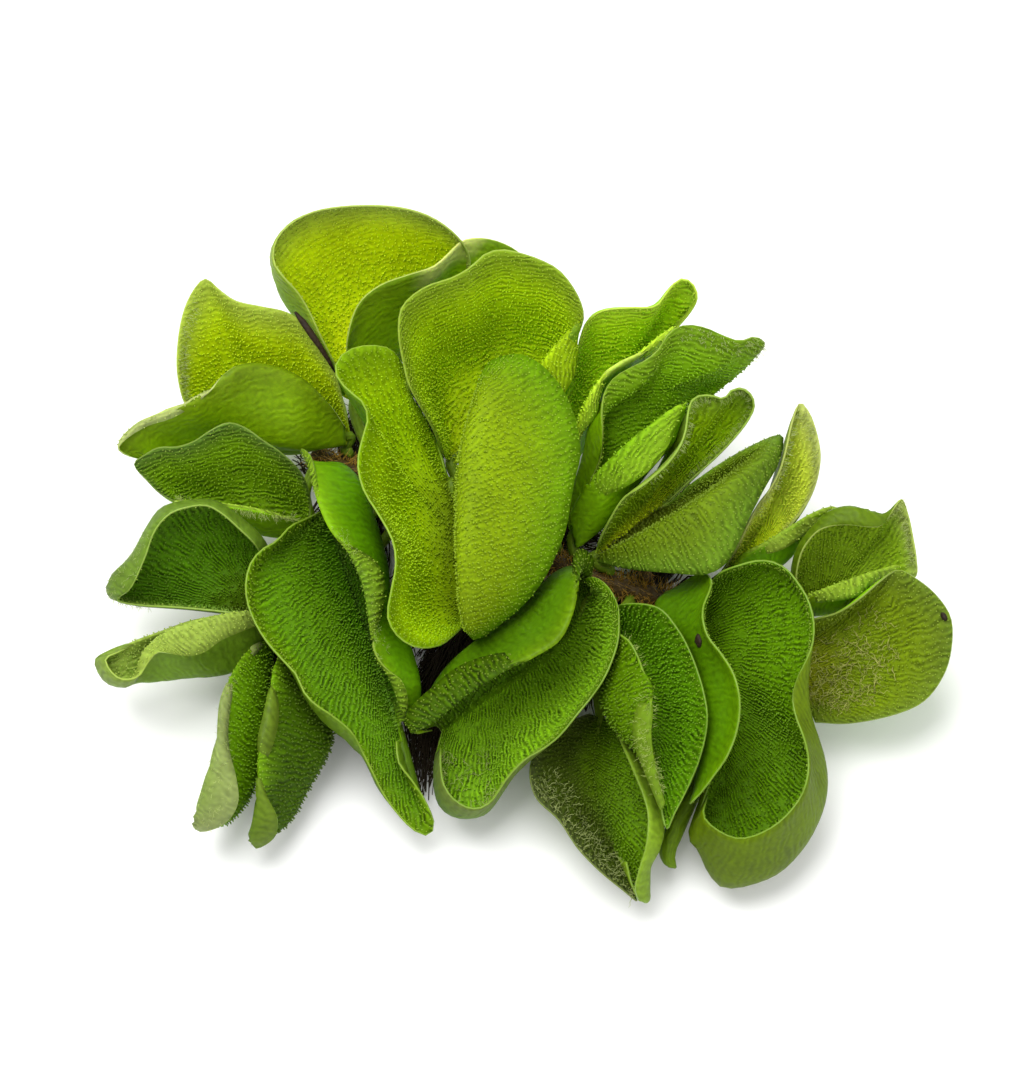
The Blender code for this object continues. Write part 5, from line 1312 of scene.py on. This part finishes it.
knobHair = makeKnobHair(4)
curlyHair = makeCurlyHair(3)
thinHair = makeThinHair(3, 0.35)
stemLine = readLine(stemShape["line"])
leafPieces = {}
hairCount = 0
for number, (node, plan) in enumerate(leafPlans.items()):
    grid = bladeGrid(plan)
    facing = bladeFacing(grid) * plan.get("flip", 1.0)
    across = bladeMesh["across"]
    parts = [lobeTones(lobeLook(plan, k), part) for k, part in enumerate(
        (grid[:, across::-1], grid[:, across:]))]
    hairy, smooth, hairTone = (np.concatenate([parts[0][n][:, :0:-1], parts[1][n]], axis=1) for n in range(3))
    rim = blendTone(hairy, screenTone(leafLook["rim"]), 0.2)
    blade = makeBlade(node, plan, grid, facing, (hairy, smooth, rim))
    blade = addStalk(blade, plan, lobeLook(plan, 0))
    shadeSmooth(blade)
    hairs = makeHairs(node, plan, grid, facing, hairTone, 100 + number)
    hairCount += len(hairs.data.vertices) // len(knobHair.vertices)
    if "fringe" in plan:
        fringe = makeFringe(camelName(node) + "Fringe", plan["fringe"], grid, facing, 500 + number)
        hairs = joinPieces([hairs, fringe])
    if "speck" in plan:
        blade = joinPieces([blade, makeSpeck(camelName(node) + "Speck", plan["speck"], grid, facing)])
    if "scar" in plan:
        blade = joinPieces([blade, makeDarkStrip(camelName(node) + "Scar", plan["scar"])])
    for piece in (blade, hairs):
        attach(piece, "root")
    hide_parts(node)
    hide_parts(node)
    leafPieces[node] = blade
print("leaves made:", len(leafPlans), "with", hairCount, "hairs")


# Stem, its branch and the young leaf


def smoothValues(values, count):
    last = len(values) - 1
    made = []
    for i in range(count + 1):
        k = min(int(i / count * last), last - 1)
        part = i / count * last - k
        made.append((values[k] * (1.0 - part) + values[k + 1] * part) / 1000.0)
    return made


def makeStrand(name, shape, count, sides, materials, rooted, knobs=0.0):
    points = [planPoint(*p) for p in shape["line"]]
    thick = list(shape["thick"])
    if rooted:
        points = joinPoints(shape["root"], points[0])[::-1] + points
        thick = thick[:1] * 2 + thick
    centres = evenPath(points, count)
    chance = random.Random(len(name))
    radii = [r * (1.0 + knobs * chance.uniform(-1, 1)) for r in smoothValues(thick, count)]
    if "roundEnd" in shape:
        for i in range(count + 1):
            past = max((i / count - shape["roundEnd"]) / (1.0 - shape["roundEnd"]), 0.0)
            radii[i] *= max(1.0 - past * past, 0.02) ** 0.5
    bm = bmesh.new()
    addTube(bm, centres, radii, sides)
    piece = addObject(name, bm, materials)
    return piece, centres, radii


def strandHairs(name, centres, radii, shape, material, seed):
    # hairs all round a strand
    chance = random.Random(seed)
    bm = bmesh.new()
    for n in range(shape["hairs"]):
        share = chance.uniform(0.0, 0.999) * (len(centres) - 1)
        k = int(share)
        middle = centres[k].lerp(centres[k + 1], share - k)
        ahead = (centres[k + 1] - centres[k]).normalized()
        radius = radii[k] + (radii[k + 1] - radii[k]) * (share - k)
        turn = Matrix.Rotation(chance.uniform(0.0, 2.0 * pi), 3, ahead)
        out = turn @ ahead.orthogonal().normalized()
        axis = out + ahead * chance.uniform(-0.8, 0.8)
        where = middle + out * radius * 0.9
        tall = shape["hairLength"] * chance.uniform(0.5, 1.2)
        if where.z + axis.normalized().z * tall < 0.0004:
            continue
        stamp(bm, thinHair, where, axis, ahead, tall, shape["hairRadius"])
    piece = addObject(name, bm, (material,))
    shadeSmooth(piece)
    return piece


rhizome, rhizomeCentres, rhizomeRadii = makeStrand("rhizome", stemShape, 90, 12, (stemBark,), False, 0.10)
branch, branchCentres, branchRadii = makeStrand("rhizomeBranch", branchShape, 36, 12, (stemBark,), True, 0.08)
rhizomeHairs = strandHairs("rhizomeHairs", rhizomeCentres, rhizomeRadii, stemShape, stemHair, 11)
branchHairs = strandHairs("rhizomeBranchHairs", branchCentres, branchRadii, branchShape, stemHair, 12)
youngLeaf, youngCentres, youngRadii = makeStrand(
    "leafYoung", youngLeafShape, 60, 14, (smoothSide,), True, 0.0)
youngLeaf.data.uv_layers.new(name="lay")
tone = np.array([blendTone(screenTone(youngLeafShape["stalk"]), screenTone(youngLeafShape["tone"]), float(
    ramp(0.3, 0.7, (v.co - youngCentres[0]).length / (youngCentres[-1] - youngCentres[0]).length)))
    for v in youngLeaf.data.vertices])
for label in ("hairyTone", "smoothTone", "rimTone"):
    paintPoints(youngLeaf, label, tone)
for piece, node, slot in ((rhizome, "rhizome", "stem"), (rhizomeHairs, "rhizome", "stem"),
                          (branch, "rhizome_branch", "stem"), (branchHairs, "rhizome_branch", "stem"),
                          (youngLeaf, "leaf_young", "leaf")):
    shadeSmooth(piece)
    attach(piece, "root")
    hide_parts(node)
print("stem made")


# Root tufts


def makeRoots(node, shape, seed):
    chance = random.Random(seed)
    middle, ahead, radius = nearestStem(planPoint(*shape["crown"]))
    top = middle.z - radius - 0.0004
    bm = bmesh.new()
    core = [Vector((middle.x, middle.y, z * top)) for z in (0.0, 0.25, 0.6, 1.0)]
    addTube(bm, core, (0.0024, 0.0022, 0.0014, 0.0010), 10)
    crown = core[0]
    for strand in shape["strands"]:
        goals = [planPoint(p[0], p[1], 0.6) for p in strand]
        length = sum((b - a).length for a, b in zip([crown] + goals, goals))
        for n in range(int(rootShape["threads"] * length / 0.02)):
            spread = rootShape["spread"]
            points = [Vector((middle.x + chance.uniform(-1, 1) * 0.0012, middle.y + chance.uniform(-1, 1) * 0.0012,
                              top * chance.uniform(0.35, 0.95)))]
            for g in goals:
                points.append(g + Vector((chance.gauss(0, spread), chance.gauss(0, spread), 0.0)))
                points[-1].z = chance.uniform(0.0003, 0.0022)
            cut = chance.uniform(0.7, 1.0)
            path = evenPath(points, 14)
            keep = max(int(14 * cut), 4)
            path = path[:keep + 1]
            for q, p in enumerate(path):
                p.x += chance.gauss(0, 0.00022)
                p.y += chance.gauss(0, 0.00022)
                p.z = max(p.z, 0.00025)
            thick = rootShape["thread"] * chance.uniform(0.7, 1.3)
            addTube(bm, path, [thick * (1.0 - 0.6 * q / keep) for q in range(keep + 1)], 4)
    piece = addObject(camelName(node), bm, (rootFibre,))
    shadeSmooth(piece)
    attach(piece, "root")
    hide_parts(node)
    return piece


for number, (node, shape) in enumerate(rootPlans.items()):
    makeRoots(node, shape, 300 + number)
print("roots made")


# Floor, light and camera

roomShape = {
    "floor": 3.0,
    "floorTone": (0.93, 0.93, 0.92, 1.0),
    "skyStrength": 0.75,
    "keySize": 0.55, "keyEnergy": 7.0, "keyPlace": (-0.16, 0.20, 0.75),
    "fillSize": 0.8, "fillEnergy": 2.0, "fillPlace": (0.55, -0.55, 0.5),
}


def makeFloor():
    bm = bmesh.new()
    bmesh.ops.create_grid(bm, x_segments=1, y_segments=1, size=roomShape["floor"])
    material = bpy.data.materials.new("paleFloor")
    material.use_nodes = True
    shader = material.node_tree.nodes["Principled BSDF"]
    shader.inputs["Base Color"].default_value = roomShape["floorTone"]
    shader.inputs["Roughness"].default_value = 0.9
    floor = addObject("floor", bm, (material,))


def addArea(name, size, energy, where):
    light = bpy.data.lights.new(name, "AREA")
    light.size = size
    light.energy = energy
    lamp = bpy.data.objects.new(name, light)
    bpy.context.collection.objects.link(lamp)
    lamp.location = where
    lamp.rotation_euler = (Vector((0.0, 0.0, 0.01)) - Vector(where)).to_track_quat("-Z", "Y").to_euler()


def makeSky():
    world = bpy.data.worlds.new("softSky")
    bpy.context.scene.world = world
    world.use_nodes = True
    back = world.node_tree.nodes["Background"]
    back.inputs["Color"].default_value = (1.0, 1.0, 1.0, 1.0)
    back.inputs["Strength"].default_value = roomShape["skyStrength"]


def makeCamera():
    camera = bpy.data.cameras.new("camera")
    camera.sensor_fit = "HORIZONTAL"
    camera.sensor_width = 36.0
    wide = 1024 * planView["step"]
    camera.lens = 36.0 * planView["distance"] / wide
    camera.clip_start = 0.01
    seat = bpy.data.objects.new("camera", camera)
    bpy.context.collection.objects.link(seat)
    tilt = radians(planView["angle"])
    shift = Vector(planView["shift"])
    middle = Vector((0.0, 0.0, planView["height"])) + shift
    sight = Vector((0.0, -cos(tilt), sin(tilt)))
    seat.location = middle + sight * planView["distance"]
    seat.rotation_euler = (-sight).to_track_quat("-Z", "Y").to_euler()
    bpy.context.scene.camera = seat


makeFloor()
makeSky()
addArea("keyLight", roomShape["keySize"], roomShape["keyEnergy"], roomShape["keyPlace"])
addArea("fillLight", roomShape["fillSize"], roomShape["fillEnergy"], roomShape["fillPlace"])
makeCamera()
bpy.context.scene.view_settings.view_transform = "Standard"
print("room made")
